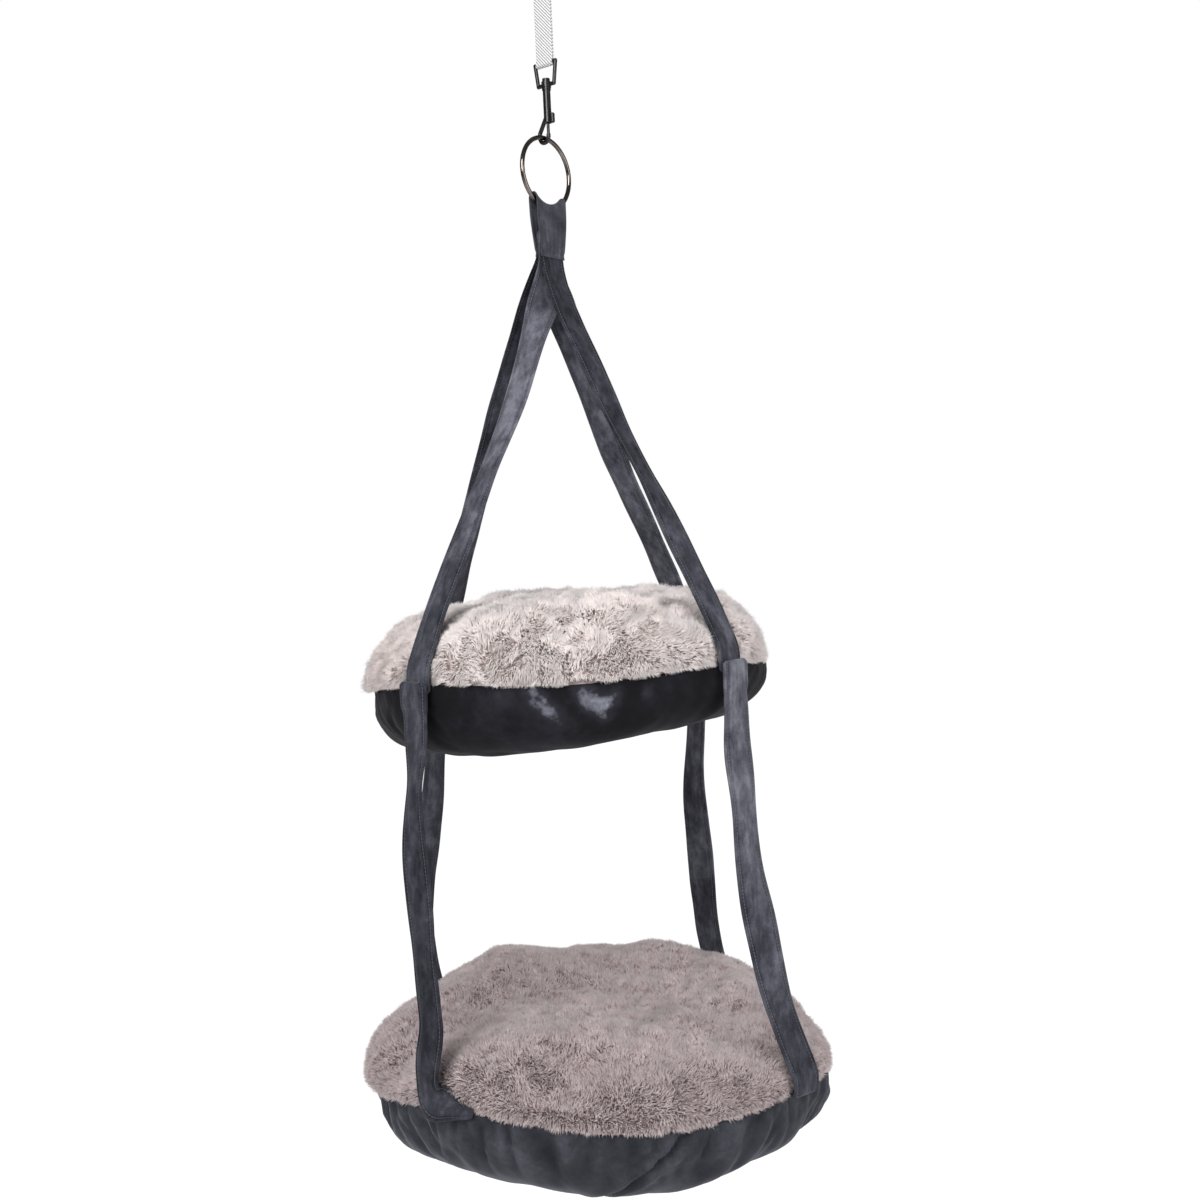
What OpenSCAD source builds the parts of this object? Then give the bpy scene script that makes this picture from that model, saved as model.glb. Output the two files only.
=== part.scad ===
// A two-tier hanging hammock: webbing loop, bolt snap, ring, velvet straps and two stuffed beds.
// Millimetres, +Z up, front towards -Y, the centre of the hanging loop at the origin.

/* [Hanging strap] */
// Width of the woven webbing
webbing_w = 20; // [16:0.5:26]
// Thickness of one layer of webbing
webbing_t = 1.8; // [1.2:0.1:2.4]
// Inner radius of the hanging loop
loop_r = 12; // [9:0.5:16]
// Drop from the loop's centre to the snap's cross bar
strap_drop = 121; // [90:1:220]
// Turn of the webbing and the snap's eye about the vertical
eye_yaw = -35; // [-60:1:60]

/* [Bolt snap] */
// Diameter of the eye's cross bar and side rods
bar_d = 4; // [3:0.1:5]
// Height from the cross bar to the top of the swivel boss
eye_h = 19; // [17:0.5:26]
// How far each side rod draws in towards the boss
eye_taper = 3; // [1:0.5:4]
// Diameter of the swivel boss
boss_d = 10; // [9:0.2:12]
// Height of the swivel boss
boss_h = 6; // [5:0.2:9]
// Diameter of the swivel stem
stem_d = 5; // [4:0.1:6]
// Diameter of the barrel
barrel_d = 8; // [7:0.1:10]
// Length of the barrel
barrel_l = 33; // [32.5:0.5:45]
// Diameter of the sliding bolt
bolt_d = 3.2; // [2.6:0.1:3.8]
// How far the bolt draws back
bolt_travel = 7; // [5.5:0.1:8]
// Length of the thumb pad
pad_l = 10; // [8:0.5:12]
// Inner radius of the hook's bend
hook_r = 3.6; // [3.2:0.1:5]
// Thickness of the hook
hook_t = 4.4; // [3.6:0.1:6]
// Drop from the barrel's end to the centre of the bend
hook_drop = 13; // [12:0.5:20]
// Turn of the hook and the ring about the vertical
hook_yaw = -40; // [-60:1:60]

/* [Ring] */
// Diameter of the ring, wire centre to wire centre
ring_d = 71.2; // [60:0.2:90]
// Thickness of the ring's wire
ring_wire = 4.8; // [3.5:0.1:5.6]

/* [Collar] */
// Width of the velvet collar along the ring
collar_w = 44; // [38:1:48]
// Drop from the ring's lowest wire to the collar's bottom edge
collar_drop = 52; // [45:1:80]
// Thickness of the collar's cloth
collar_t = 1.6; // [1.2:0.1:2.5]
// Depth to which the strap ends are sewn into the collar
sew_depth = 28; // [15:1:32]

/* [Straps] */
// Width of the velvet straps
strap_w = 33; // [26:1:36]
// Thickness of a velvet strap
strap_t = 4; // [3:0.2:5]
// How far the slack back left strap bows out between the beds
back_bow = 40; // [0:1:60]
// How far the other straps between the beds hang out to the left
slack_bow = 20; // [0:1:40]
// How far the back left strap swings out under the collar
fan_bow = 34; // [0:1:60]
// How far the back right strap hangs in over the upper bed
sling_bow = 8; // [0:1:50]
// Turn of the front right lower strap's middle towards the front
strap_turn = 18; // [0:1:30]

/* [Upper bed] */
// Drop from the collar to the upper bed's rim
sling_drop = 412; // [330:1:520]
// Diameter of the upper bed's rim seam
upper_d = 410; // [360:2:470]
// Depth of the upper bed's velvet base under the rim
upper_depth = 83; // [65:1:115]
// How much deeper the upper bed's base hangs on its left side, as a share of the depth
upper_lean = 0.16; // [0:0.02:0.3]
// Height of the upper bed's plush crown over the rim
upper_crown = 75; // [50:1:90]
// Depth of the hollow in the upper bed's crown
upper_dip = 8; // [4:1:18]
// Sag of the upper bed's rim between the straps
upper_sag = 8; // [4:1:35]
// How much lower the upper bed's rim hangs at its two sides
upper_side = 10; // [0:1:30]
// Sideways offset of the upper bed
upper_x = -3; // [-20:1:30]
// Offset of the upper bed towards the back
upper_y = 8; // [-20:1:20]
// Turn of the upper bed about the vertical
upper_yaw = 3; // [-8:1:8]
// Rise of the upper bed to the right, per unit of width
upper_tilt = 0.025; // [-0.08:0.005:0.08]

/* [Lower bed] */
// Drop from the upper bed's rim to the lower bed's rim
tier_drop = 391; // [340:1:480]
// Diameter of the lower bed's rim seam
lower_d = 472; // [410:2:520]
// Depth of the lower bed's velvet base under the rim
lower_depth = 106; // [75:1:130]
// How much deeper the lower bed's base hangs on its left side, as a share of the depth
lower_lean = 0.04; // [0:0.02:0.3]
// Height of the lower bed's plush crown over the rim
lower_crown = 52; // [40:1:75]
// Depth of the hollow in the lower bed's crown
lower_dip = 24; // [10:1:30]
// Sag of the lower bed's rim between the straps
lower_sag = 14; // [6:1:25]
// How much lower the lower bed's rim hangs at its two sides
lower_side = 24; // [0:1:36]
// Sideways offset of the lower bed
lower_x = 12; // [-20:1:40]
// Offset of the lower bed towards the back
lower_y = 8; // [-20:1:20]
// Turn of the lower bed about the vertical
lower_yaw = 10; // [0:1:12]
// Rise of the lower bed to the right, per unit of width
lower_tilt = -0.03; // [-0.06:0.005:0.06]

/* [Cushion cloth] */
// Thickness of the plush with its dense pile
plush_t = 14; // [9:1:18]
// How far the pile stands out past the rim seam
plush_over = 10; // [4:1:12]
// Height of the soft lumps in the plush
plush_lump = 5; // [0.5:0.5:8]
// Height of the wide swells that the filling gives the plush
plush_swell = 4; // [0:0.5:6]
// Thickness of the velvet base cloth
base_t = 2.5; // [1.5:0.1:4]

/* [Hidden] */
$fn = 64;

// Clearances
run_fit = 0.08;
soft_gap = 0.3;
seat_gap = 0.15;
side_play = 0.9;
end_play = 0.3;

// Colours
webbing_grey = [0.78, 0.78, 0.8];
snap_black = [0.08, 0.08, 0.09];
steel = [0.7, 0.7, 0.72];
gunmetal = [0.35, 0.36, 0.38];
velvet = [0.24, 0.25, 0.29];
plush_beige = [0.78, 0.72, 0.69];
fibre_white = [0.93, 0.93, 0.92];

// Webbing loop: the legs leave the round eye a little inside its tangent, at this slope
loop_slope = 45;
loop_bite = 0.985;

// Levels down the snap
z_bar = -strap_drop;
z_boss_top = z_bar - eye_h;
z_boss = z_boss_top - boss_h;
head_h = 3;
flange_h = 2;
z_flange_top = z_boss - end_play;
z_barrel_top = z_flange_top - flange_h;
z_barrel = z_barrel_top - barrel_l;
bend_r = hook_r + hook_t / 2;
z_bend = z_barrel - hook_drop;
nose_h = 2;
z_tip = z_bend + nose_h + end_play;
pad_lift = 3.8;
z_pad = z_barrel + pad_lift;
neck_h = 6;
neck_w = 2;
z_bolt_top = z_pad + neck_h / 2 + 2;
spring_l = bolt_travel + 4;
z_bore_top = z_bolt_top + spring_l;
spring_wire = 0.5;
spring_turns = 6;
eye_half = webbing_w / 2 + side_play + bar_d / 2;

// Ring and collar: the ring's plane is the hook's local YZ plane
n_dir = [cos(hook_yaw), sin(hook_yaw), 0];
u_dir = [-sin(hook_yaw), cos(hook_yaw), 0];
ring_r = ring_d / 2;
z_wire = z_bend - hook_r + seat_gap + ring_wire / 2;
z_ring = z_wire - ring_r;
collar_play = 2;
collar_seat = 0.9;
tunnel_r = ring_wire / 2 + collar_play;
z_tunnel = z_ring - (collar_play - collar_seat);
z_collar = z_ring - ring_r - collar_drop;
layer_t = 1.4;
layer_pitch = layer_t + 0.2;
pocket_t = 4 * layer_pitch + 0.2;

// Beds: [centre x, yaw, rim radius, rim height, tilt, sag, crown, depth, dip, centre y, lean, side,
// swell phase]
X = 0; YAW = 1; R = 2; Z = 3; TILT = 4; SAG = 5; CROWN = 6; DEPTH = 7; DIP = 8; Y = 9; LEAN = 10; SIDE = 11;
PHASE = 12;
upper_phase = 220;
lower_phase = 50;
z_upper = z_collar - sling_drop;
z_lower = z_upper - tier_drop;
upper_bed = [upper_x, upper_yaw, upper_d / 2, z_upper, upper_tilt, upper_sag, upper_crown, upper_depth, upper_dip,
  upper_y, upper_lean, upper_side, upper_phase];
lower_bed = [lower_x, lower_yaw, lower_d / 2, z_lower, lower_tilt, lower_sag, lower_crown, lower_depth, lower_dip,
  lower_y, lower_lean, lower_side, lower_phase];
around = 48;
rise = 8;
row_pow = 0.75;
crown_pow = 0.62;
crown_zpow = 0.9;
base_pow = 0.5;
base_zpow = 0.85;
dip_reach = 0.72;
notch_full = 4;
notch_end = 11.25;
notch_depth = plush_over + 5;
front_left = 225;
front_right = 315;
back_right = 45;
back_left = 135;

// Rim of a bed
function grid_angle(j) = 360 * (j + 0.5) / around;
function mid_share(a) = (1 + cos(4 * a)) / 2;
function strap_off(a) = let (m = a - 90 * floor(a / 90)) abs(m - 45);
function notch(a) = min(1, max(0, (notch_end - strap_off(a)) / (notch_end - notch_full)));
function rim_drop(b, a) = b[SAG] * mid_share(a) + b[SIDE] * pow(cos(a + b[YAW]), 2);
function level(b, a, r) = b[Z] + b[TILT] * r * cos(a + b[YAW]) - rim_drop(b, a) * pow(r / b[R], 2);
function place(b, a, r, z) = [b[X] + r * cos(a + b[YAW]), b[Y] + r * sin(a + b[YAW]), z];

// Wide swells of the filling: three crossing waves, each with its turn per millimetre across and along
swell_waves = [[2.1, 0.6], [-0.9, 2.0], [1.3, -1.7]];
function swell(x, y, phase) =
  plush_swell * [for (w = swell_waves) cos(w[0] * x + w[1] * y + phase * (1 + w[1]))] * [1, 1, 1];

// Plush surface, drawn in by d from its outside
function dip_share(s) = s < dip_reach ? pow(1 - pow(s / dip_reach, 2), 2) : 0;
function plush_r(b, a, t, d) =
  (b[R] + plush_over - d - notch_depth * notch(a)) * pow(cos(t), crown_pow);
function plush_pt(b, a, t, d, drop) =
  let (r = plush_r(b, a, t, d))
  place(b, a, r, level(b, a, r) + soft_gap - drop + (b[CROWN] - d) * pow(sin(t), crown_zpow)
    + plush_lump * sin(3 * a + 70) * sin(2 * t) - b[DIP] * dip_share(r / b[R])
    + swell(r * cos(a), r * sin(a), b[PHASE]) * pow(sin(2 * t), 2));

// Velvet base surface, drawn in by d from its outside
function base_pt(b, a, t, d, drop) =
  let (r = (b[R] - d) * pow(cos(t), base_pow))
  place(b, a, r, level(b, a, r) - drop
    - (b[DEPTH] - d) * pow(sin(t), base_zpow) * (1 - b[LEAN] * r / b[R] * cos(a + b[YAW])));

function plush_rings(b, d, drop) =
  [for (i = [0 : rise - 1], j = [0 : around - 1])
    plush_pt(b, grid_angle(j), 90 * pow(i / rise, row_pow), d, drop)];
function base_rings(b, d, drop) =
  [for (i = [0 : rise - 1], j = [0 : around - 1]) base_pt(b, grid_angle(j), 90 * i / rise, d, drop)];

// Faces between two rings of points that start at numbers p and q
function belt(p, q, n) =
  [for (j = [0 : n - 1]) let (k = (j + 1) % n) each [[p + j, p + k, q + k], [p + j, q + k, q + j]]];
function fan(p, tip, n) = [for (j = [0 : n - 1]) [p + j, p + (j + 1) % n, tip]];
function flip(faces) = [for (f = faces) [f[0], f[2], f[1]]];
function sheet(start, tip) = concat(
  [for (i = [0 : rise - 2]) each belt(start + i * around, start + (i + 1) * around, around)],
  fan(start + (rise - 1) * around, tip, around));

// A closed skin: the upper sheet and the lower sheet, each rings and a pole, joined along their first rings
module skin(top, top_pole, under, under_pole) {
  n = len(top);
  points = concat(top, [top_pole], under, [under_pole]);
  faces = concat(sheet(0, n), flip(sheet(n + 1, 2 * n + 1)), flip(belt(0, n + 1, around)));
  polyhedron(points = points, faces = flip(faces), convexity = 6);
}

module bed_plush(b) {
  skin(plush_rings(b, 0, 0), plush_pt(b, 0, 90, 0, 0),
    plush_rings(b, plush_t, 0), plush_pt(b, 0, 90, plush_t, 0));
}

module bed_base(b) {
  skin(base_rings(b, base_t, 0), base_pt(b, 0, 90, base_t, 0),
    base_rings(b, 0, 0), base_pt(b, 0, 90, 0, 0));
}

module bed_filling(b) {
  top_in = plush_t + soft_gap;
  low_in = base_t + 2 * soft_gap;
  skin(plush_rings(b, top_in, 2 * soft_gap), plush_pt(b, 0, 90, top_in, soft_gap),
    base_rings(b, low_in, soft_gap), base_pt(b, 0, 90, low_in, 0));
}

// Straps: soft-edged bands swept along a path
function unit(v) = v / norm(v);
function mix(a, b, t) = a * (1 - t) + b * t;
function turned(v, a) = [v[0] * cos(a) - v[1] * sin(a), v[0] * sin(a) + v[1] * cos(a), v[2]];
function smooth(x) = let (t = min(1, max(0, x))) t * t * (3 - 2 * t);
function bezier(p, q, r, s, t) =
  pow(1 - t, 3) * p + 3 * t * pow(1 - t, 2) * q + 3 * t * t * (1 - t) * r + pow(t, 3) * s;
function band_ring(c, tangent, w, half, thick) =
  let (side = unit(w - (w * tangent) * tangent), up = cross(tangent, side), e = thick * 0.4, h = thick / 2)
  [for (k = [[-half, -h + e], [-half + e, -h], [half - e, -h], [half, -h + e],
    [half, h - e], [half - e, h], [-half + e, h], [-half, h - e]]) c + k[0] * side + k[1] * up];

// Walls of a band: both wide faces split along the same diagonal, so that a twist keeps them apart
function band_walls(p, q, m) =
  [for (j = [0 : m - 1]) let (k = (j + 1) % m)
    each j < m / 2 ? [[p + j, p + k, q + k], [p + j, q + k, q + j]]
      : [[p + j, p + k, q + j], [p + k, q + k, q + j]]];

module band(path, sides, thicks) {
  n = len(path);
  m = 8;
  points = [for (k = [0 : n - 1])
    let (tangent = unit(path[min(n - 1, k + 1)] - path[max(0, k - 1)]))
    each band_ring(path[k], tangent, sides[k], strap_w / 2, thicks[k])];
  walls = [for (k = [0 : n - 2]) each band_walls(k * m, (k + 1) * m, m)];
  ends = concat([for (j = [1 : m - 2]) [0, j + 1, j]],
    [for (j = [1 : m - 2]) let (p = (n - 1) * m) [p, p + j, p + j + 1]]);
  polyhedron(points = points, faces = flip(concat(walls, ends)), convexity = 6);
}

strap_steps = 11;
rim_cos = cos(180 / around);
high_share = 0.6;
lap_up = 14;
lap_down = 8;
top_lap = 3;
low_lap = 4;
lap_gap = 1.2;
foot_gap = 1.3;
upper_strap_r = upper_d / 2 * rim_cos + soft_gap + strap_t / 2;
lower_strap_top_r = upper_strap_r + strap_t + lap_gap;
lower_strap_low_r = lower_d / 2 * rim_cos + foot_gap + strap_t / 2;
function rim_dir(b, a) = [-sin(a + b[YAW]), cos(a + b[YAW]), 0];
function collar_pt(layer, z) = -bend_r * n_dir + layer * layer_pitch * n_dir + [0, 0, z];

// From the collar to the upper rim; the strap starts flat in the collar and turns to lie along the rim.
// high_bow and low_bow push its slack to the left under the collar and over the bed
module upper_strap(a, layer, low_side, high_bow, low_bow) {
  rim = level(upper_bed, a, upper_d / 2);
  start = collar_pt(layer, z_collar);
  finish = place(upper_bed, a, upper_strap_r, rim + lap_up);
  fall = [-high_bow, 0, -0.13 * sling_drop];
  hang = mix(finish, start, 0.25) - [low_bow, 0, 0];
  curve = [for (k = [0 : strap_steps]) bezier(start, start + fall, hang, finish, k / strap_steps)];
  path = concat([collar_pt(layer, z_collar + sew_depth)], curve,
    [place(upper_bed, a, upper_strap_r, rim - lap_down)]);
  turn = [for (k = [0 : strap_steps]) smooth((k / strap_steps - 0.02) / 0.36)];
  sides = concat([u_dir], [for (t = turn) unit(mix(u_dir, low_side, t))], [low_side]);
  loft = [for (k = [0 : strap_steps]) mix(layer_t, strap_t, smooth((k / strap_steps - 0.2) / 0.2))];
  band(path, sides, concat([layer_t], loft, [strap_t]));
}

// From the upper rim to the lower rim; bow pushes the slack strap to the right, turn twists its middle
module lower_strap(a, bow, turn) {
  rim_top = level(upper_bed, a, upper_d / 2);
  rim_low = level(lower_bed, a, lower_d / 2);
  start = place(upper_bed, a, lower_strap_top_r, rim_top - lap_down);
  finish = place(lower_bed, a, lower_strap_low_r, rim_low + lap_up);
  fall = [0, 0, -0.35 * tier_drop];
  level_share = 0.55;
  drop_share = 0.3;
  hang = [mix(finish[0], start[0], level_share) + bow, mix(finish[1], start[1], level_share),
    mix(finish[2], start[2], drop_share)];
  curve = [for (k = [0 : strap_steps]) bezier(start, start + fall, hang, finish, k / strap_steps)];
  path = concat([place(upper_bed, a, lower_strap_top_r, rim_top + top_lap)], curve,
    [place(lower_bed, a, lower_strap_low_r, rim_low - low_lap)]);
  top_side = rim_dir(upper_bed, a);
  low_side = rim_dir(lower_bed, a);
  sides = concat([top_side], [for (k = [0 : strap_steps])
    turned(unit(mix(top_side, low_side, k / strap_steps)), turn * sin(180 * k / strap_steps))], [low_side]);
  band(path, sides, [for (p = path) strap_t]);
}

// Frames of the snap
module at_eye() rotate([0, 0, eye_yaw]) children();
module at_hook() rotate([0, 0, hook_yaw]) children();

// A straight round rod between two points
module rod(p, q, d) {
  v = q - p;
  translate(p)
    rotate([0, acos(v[2] / norm(v)), atan2(v[1], v[0])])
      cylinder(d = d, h = norm(v));
}

// A corner between rods, a little fuller than they are
module corner(p, d) translate(p) sphere(d = d * 1.04);

// A round eye of the webbing and the pointed throat under it, at radius r, across the width w
module webbing_eye(r, w) {
  m = loop_bite * r;
  rotate([0, 90, 0]) cylinder(r = r, h = w, center = true);
  translate([-w / 2, 0, 0])
    rotate([90, 0, 90])
      linear_extrude(w)
        polygon([[-m * sin(loop_slope), -m * cos(loop_slope)], [m * sin(loop_slope), -m * cos(loop_slope)],
          [0, -m / cos(loop_slope)]]);
}

// Folded webbing: sewn double, with the hanging eye above and the snap's bar below
module hanging_strap() {
  low_r = bar_d / 2 + seat_gap;
  over = 2;
  color(webbing_grey)
    at_eye()
      difference() {
        union() {
          webbing_eye(loop_r + webbing_t, webbing_w);
          translate([-webbing_w / 2, -webbing_t, z_bar])
            cube([webbing_w, 2 * webbing_t, strap_drop - loop_r - webbing_t]);
          translate([0, 0, z_bar]) rotate([0, 90, 0]) cylinder(r = low_r + webbing_t, h = webbing_w, center = true);
        }
        webbing_eye(loop_r, webbing_w + over);
        translate([0, 0, z_bar]) rotate([0, 90, 0]) cylinder(r = low_r, h = webbing_w + over, center = true);
      }
}

// Eye of the snap: cross bar, two side rods and the swivel boss
module snap_eye() {
  foot = eye_half - eye_taper;
  z_foot = z_boss_top - boss_h / 2;
  color(snap_black)
    at_eye()
      difference() {
        union() {
          rod([-eye_half, 0, z_bar], [eye_half, 0, z_bar], bar_d);
          for (s = [-1, 1]) {
            corner([s * eye_half, 0, z_bar], bar_d);
            rod([s * eye_half, 0, z_bar], [s * foot, 0, z_foot], bar_d);
            corner([s * foot, 0, z_foot], bar_d);
            rod([s * foot, 0, z_foot], [0, 0, z_foot], bar_d);
          }
          translate([0, 0, z_boss]) cylinder(d = boss_d, h = boss_h);
        }
        translate([0, 0, z_boss - 1]) cylinder(d = stem_d + 2 * run_fit, h = boss_h + 2);
      }
}

// Hook: riveted stem, flange, slotted barrel and the bend with its nose
module snap_hook() {
  knee = [-2 * bend_r, 0, z_bend + hook_t];
  shoulder = [-barrel_d * 0.2, 0, z_barrel + hook_t * 1.6];
  slot_top = z_pad + neck_h / 2 + bolt_travel + end_play;
  color(snap_black)
    at_hook()
      difference() {
        union() {
          translate([0, 0, z_boss_top + seat_gap]) cylinder(d = stem_d + 3, h = head_h);
          translate([0, 0, z_flange_top - 1]) cylinder(d = stem_d, h = boss_h + end_play + seat_gap + 2);
          translate([0, 0, z_barrel_top]) cylinder(d = barrel_d + 1.2, h = flange_h);
          translate([0, 0, z_barrel]) cylinder(d = barrel_d, h = barrel_l + 0.5);
          rod(shoulder, knee, hook_t);
          corner(knee, hook_t);
          rod(knee, [-2 * bend_r, 0, z_bend], hook_t);
          translate([-bend_r, 0, z_bend])
            rotate([90, 0, 0])
              rotate([0, 0, 180])
                rotate_extrude(angle = 180)
                  translate([bend_r, 0]) circle(d = hook_t);
          translate([0, 0, z_bend]) cylinder(d = hook_t, h = nose_h);
        }
        translate([0, 0, z_barrel - 1]) cylinder(d = bolt_d + 2 * run_fit, h = z_bore_top - z_barrel + 1);
        translate([0, -neck_w / 2 - end_play, z_barrel - 1])
          cube([barrel_d, neck_w + 2 * end_play, slot_top - z_barrel + 1]);
      }
}

// Bolt with its neck and thumb pad
module snap_bolt() {
  pad_d = 4.6;
  pad_x = barrel_d / 2 + end_play + pad_d / 2;
  color(snap_black)
    at_hook()
      union() {
        translate([0, 0, z_tip]) cylinder(d = bolt_d, h = z_bolt_top - z_tip);
        translate([0, -neck_w / 2, z_pad - neck_h / 2]) cube([pad_x, neck_w, neck_h]);
        translate([pad_x, 0, z_pad - pad_l / 2 + 1]) cylinder(d = pad_d, h = pad_l - 2);
        translate([pad_x, 0, z_pad + pad_l / 2 - 1]) cylinder(d1 = pad_d, d2 = pad_d - 2, h = 1);
        translate([pad_x, 0, z_pad - pad_l / 2]) cylinder(d1 = pad_d - 2, d2 = pad_d, h = 1);
      }
}

// Coil spring between the bolt and the blind end of the bore
module snap_spring() {
  sides = 6;
  per_turn = 10;
  coil_r = bolt_d / 2 - spring_wire / 2;
  steps = spring_turns * per_turn;
  z_low = z_bolt_top + seat_gap + spring_wire / 2;
  climb = spring_l - 2 * seat_gap - spring_wire;
  points = [for (k = [0 : steps], s = [0 : sides - 1])
    let (a = 360 * k / per_turn, c = 360 * s / sides, r = coil_r + spring_wire / 2 * cos(c))
    [r * cos(a), r * sin(a), z_low + climb * k / steps + spring_wire / 2 * sin(c)]];
  last = steps * sides;
  walls = [for (k = [0 : steps - 1]) each belt(k * sides, (k + 1) * sides, sides)];
  ends = concat([for (j = [1 : sides - 2]) [0, j + 1, j]],
    [for (j = [1 : sides - 2]) [last, last + j, last + j + 1]]);
  color(steel) at_hook() polyhedron(points = points, faces = concat(walls, ends), convexity = 8);
}

module hanging_ring() {
  color(gunmetal)
    at_hook()
      translate([-bend_r, 0, z_ring])
        rotate([0, 90, 0])
          rotate_extrude()
            translate([ring_r, 0]) circle(d = ring_wire);
}

// Velvet collar: a sleeve along the ring's wire over a flat pocket that takes the four strap ends
module ring_collar() {
  body_t = pocket_t + 2 * collar_t;
  span = asin(collar_w / 2 / ring_r) + 12;
  z_body_top = z_tunnel - sqrt(pow(ring_r, 2) - pow(collar_w / 2, 2));
  color(velvet)
    at_hook()
      translate([-bend_r, 0, 0])
        difference() {
          union() {
            intersection() {
              translate([0, 0, z_tunnel])
                rotate([0, 90, 0])
                  rotate([0, 0, -span])
                    rotate_extrude(angle = 2 * span)
                      translate([ring_r, 0]) circle(r = tunnel_r + collar_t);
              translate([-ring_r, -collar_w / 2, z_collar]) cube([2 * ring_r, collar_w, z_body_top - z_collar + 20]);
            }
            translate([-body_t / 2, -collar_w / 2, z_collar])
              cube([body_t, collar_w, z_tunnel - ring_r - tunnel_r * 0.5 - z_collar]);
          }
          translate([0, 0, z_tunnel])
            rotate([0, 90, 0])
              rotate_extrude()
                translate([ring_r, 0]) circle(r = tunnel_r);
          translate([-pocket_t / 2, -strap_w / 2 - end_play, z_collar - 1])
            cube([pocket_t, strap_w + 2 * end_play, sew_depth + 1 + end_play]);
        }
}

module upper_strap_front_left() color(velvet)
  upper_strap(front_left, 0.5, -rim_dir(upper_bed, back_right), 0, 0);
module upper_strap_front_right() color(velvet)
  upper_strap(front_right, 1.5, rim_dir(upper_bed, front_right), 0, 0);
module upper_strap_back_right() color(velvet)
  upper_strap(back_right, -0.5, -rim_dir(upper_bed, back_right), high_share * sling_bow, sling_bow);
module upper_strap_back_left() color(velvet)
  upper_strap(back_left, -1.5, rim_dir(upper_bed, front_right), fan_bow, 0);

module upper_base() color(velvet) bed_base(upper_bed);
module upper_filling() color(fibre_white) bed_filling(upper_bed);
module upper_plush() color(plush_beige) bed_plush(upper_bed);

module lower_strap_front_left() color(velvet) lower_strap(front_left, -slack_bow, 0);
module lower_strap_front_right() color(velvet) lower_strap(front_right, -slack_bow / 2, -strap_turn);
module lower_strap_back_right() color(velvet) lower_strap(back_right, -slack_bow, 0);
module lower_strap_back_left() color(velvet) lower_strap(back_left, -back_bow, 0);

module lower_base() color(velvet) bed_base(lower_bed);
module lower_filling() color(fibre_white) bed_filling(lower_bed);
module lower_plush() color(plush_beige) bed_plush(lower_bed);

hanging_strap();
snap_eye();
snap_hook();
snap_bolt();
snap_spring();
hanging_ring();
ring_collar();
upper_strap_front_left();
upper_strap_front_right();
upper_strap_back_right();
upper_strap_back_left();
upper_base();
upper_filling();
upper_plush();
lower_strap_front_left();
lower_strap_front_right();
lower_strap_back_right();
lower_strap_back_left();
lower_base();
lower_filling();
lower_plush();
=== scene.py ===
# %% [markdown]
# # A two-tier hanging hammock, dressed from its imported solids
# The object hangs from a webbing loop: a bolt snap holds a ring, a velvet collar hangs on the ring, and
# four velvet straps carry a stuffed bed. Four more straps carry a second, larger bed. The metal solids are
# right as they are and only get finishes. Everything soft is made new here, in the place that its solid
# holds.

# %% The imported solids
import math

import bmesh
import bpy
import numpy as np
from mathutils import Matrix, Vector
from mathutils.kdtree import KDTree


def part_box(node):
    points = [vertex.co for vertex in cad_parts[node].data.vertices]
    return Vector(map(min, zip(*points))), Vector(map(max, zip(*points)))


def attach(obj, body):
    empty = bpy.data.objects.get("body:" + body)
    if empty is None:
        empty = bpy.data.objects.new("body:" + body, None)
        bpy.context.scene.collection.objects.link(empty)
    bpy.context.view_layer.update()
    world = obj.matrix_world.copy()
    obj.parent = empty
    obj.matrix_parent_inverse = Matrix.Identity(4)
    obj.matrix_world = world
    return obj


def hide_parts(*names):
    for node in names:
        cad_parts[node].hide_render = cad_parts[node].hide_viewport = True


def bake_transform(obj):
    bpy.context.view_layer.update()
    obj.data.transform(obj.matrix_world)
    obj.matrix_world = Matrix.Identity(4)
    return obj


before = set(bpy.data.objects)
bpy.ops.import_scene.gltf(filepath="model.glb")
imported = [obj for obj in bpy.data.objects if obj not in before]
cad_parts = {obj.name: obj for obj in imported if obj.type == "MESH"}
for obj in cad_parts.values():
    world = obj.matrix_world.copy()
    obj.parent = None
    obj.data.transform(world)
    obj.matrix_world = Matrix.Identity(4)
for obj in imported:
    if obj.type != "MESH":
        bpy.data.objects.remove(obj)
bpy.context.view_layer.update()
scene = bpy.context.scene
MM = 0.001

# %% [markdown]
# ## Sizes
# The soft pieces follow the same rims, levels and strap routes as the solids, so those numbers are repeated
# here, in metres. Each bed is a set of numbers and a few functions that give points of its surfaces. Angles
# run round the bed from its own right-hand side, and t runs from 0 at the rim to a quarter turn at the
# middle.

# %% Sizes of the hammock
HOOK_YAW = math.radians(-40)
EYE_YAW = math.radians(-35)
OUT = np.array([math.cos(HOOK_YAW), math.sin(HOOK_YAW), 0.0])
ALONG = np.array([-math.sin(HOOK_YAW), math.cos(HOOK_YAW), 0.0])
UP = np.array([0.0, 0.0, 1.0])
RING_AXIS = -5.8 * MM * OUT
BAR_LEVEL = -121 * MM
RING_LEVEL = -230.95 * MM
RING_R = 35.6 * MM
RING_WIRE = 4.8 * MM
COLLAR_LEVEL = -318.55 * MM
COLLAR_W = 44 * MM
SEW_DEPTH = 28 * MM
LAYER = 1.6 * MM
STRAP_W = 33 * MM
STRAP_T = 4 * MM
SLING_DROP = 412 * MM
TIER_DROP = 391 * MM
PLUSH_OVER = 10 * MM
PLUSH_LUMP = 5 * MM
NOTCH_DEPTH = 4 * MM
PLUSH_SWELL = 4 * MM
SWELL_WAVES = ((2.1, 0.6), (-0.9, 2.0), (1.3, -1.7))
NOTCH_FULL, NOTCH_END = math.radians(4), math.radians(11.25)
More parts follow.
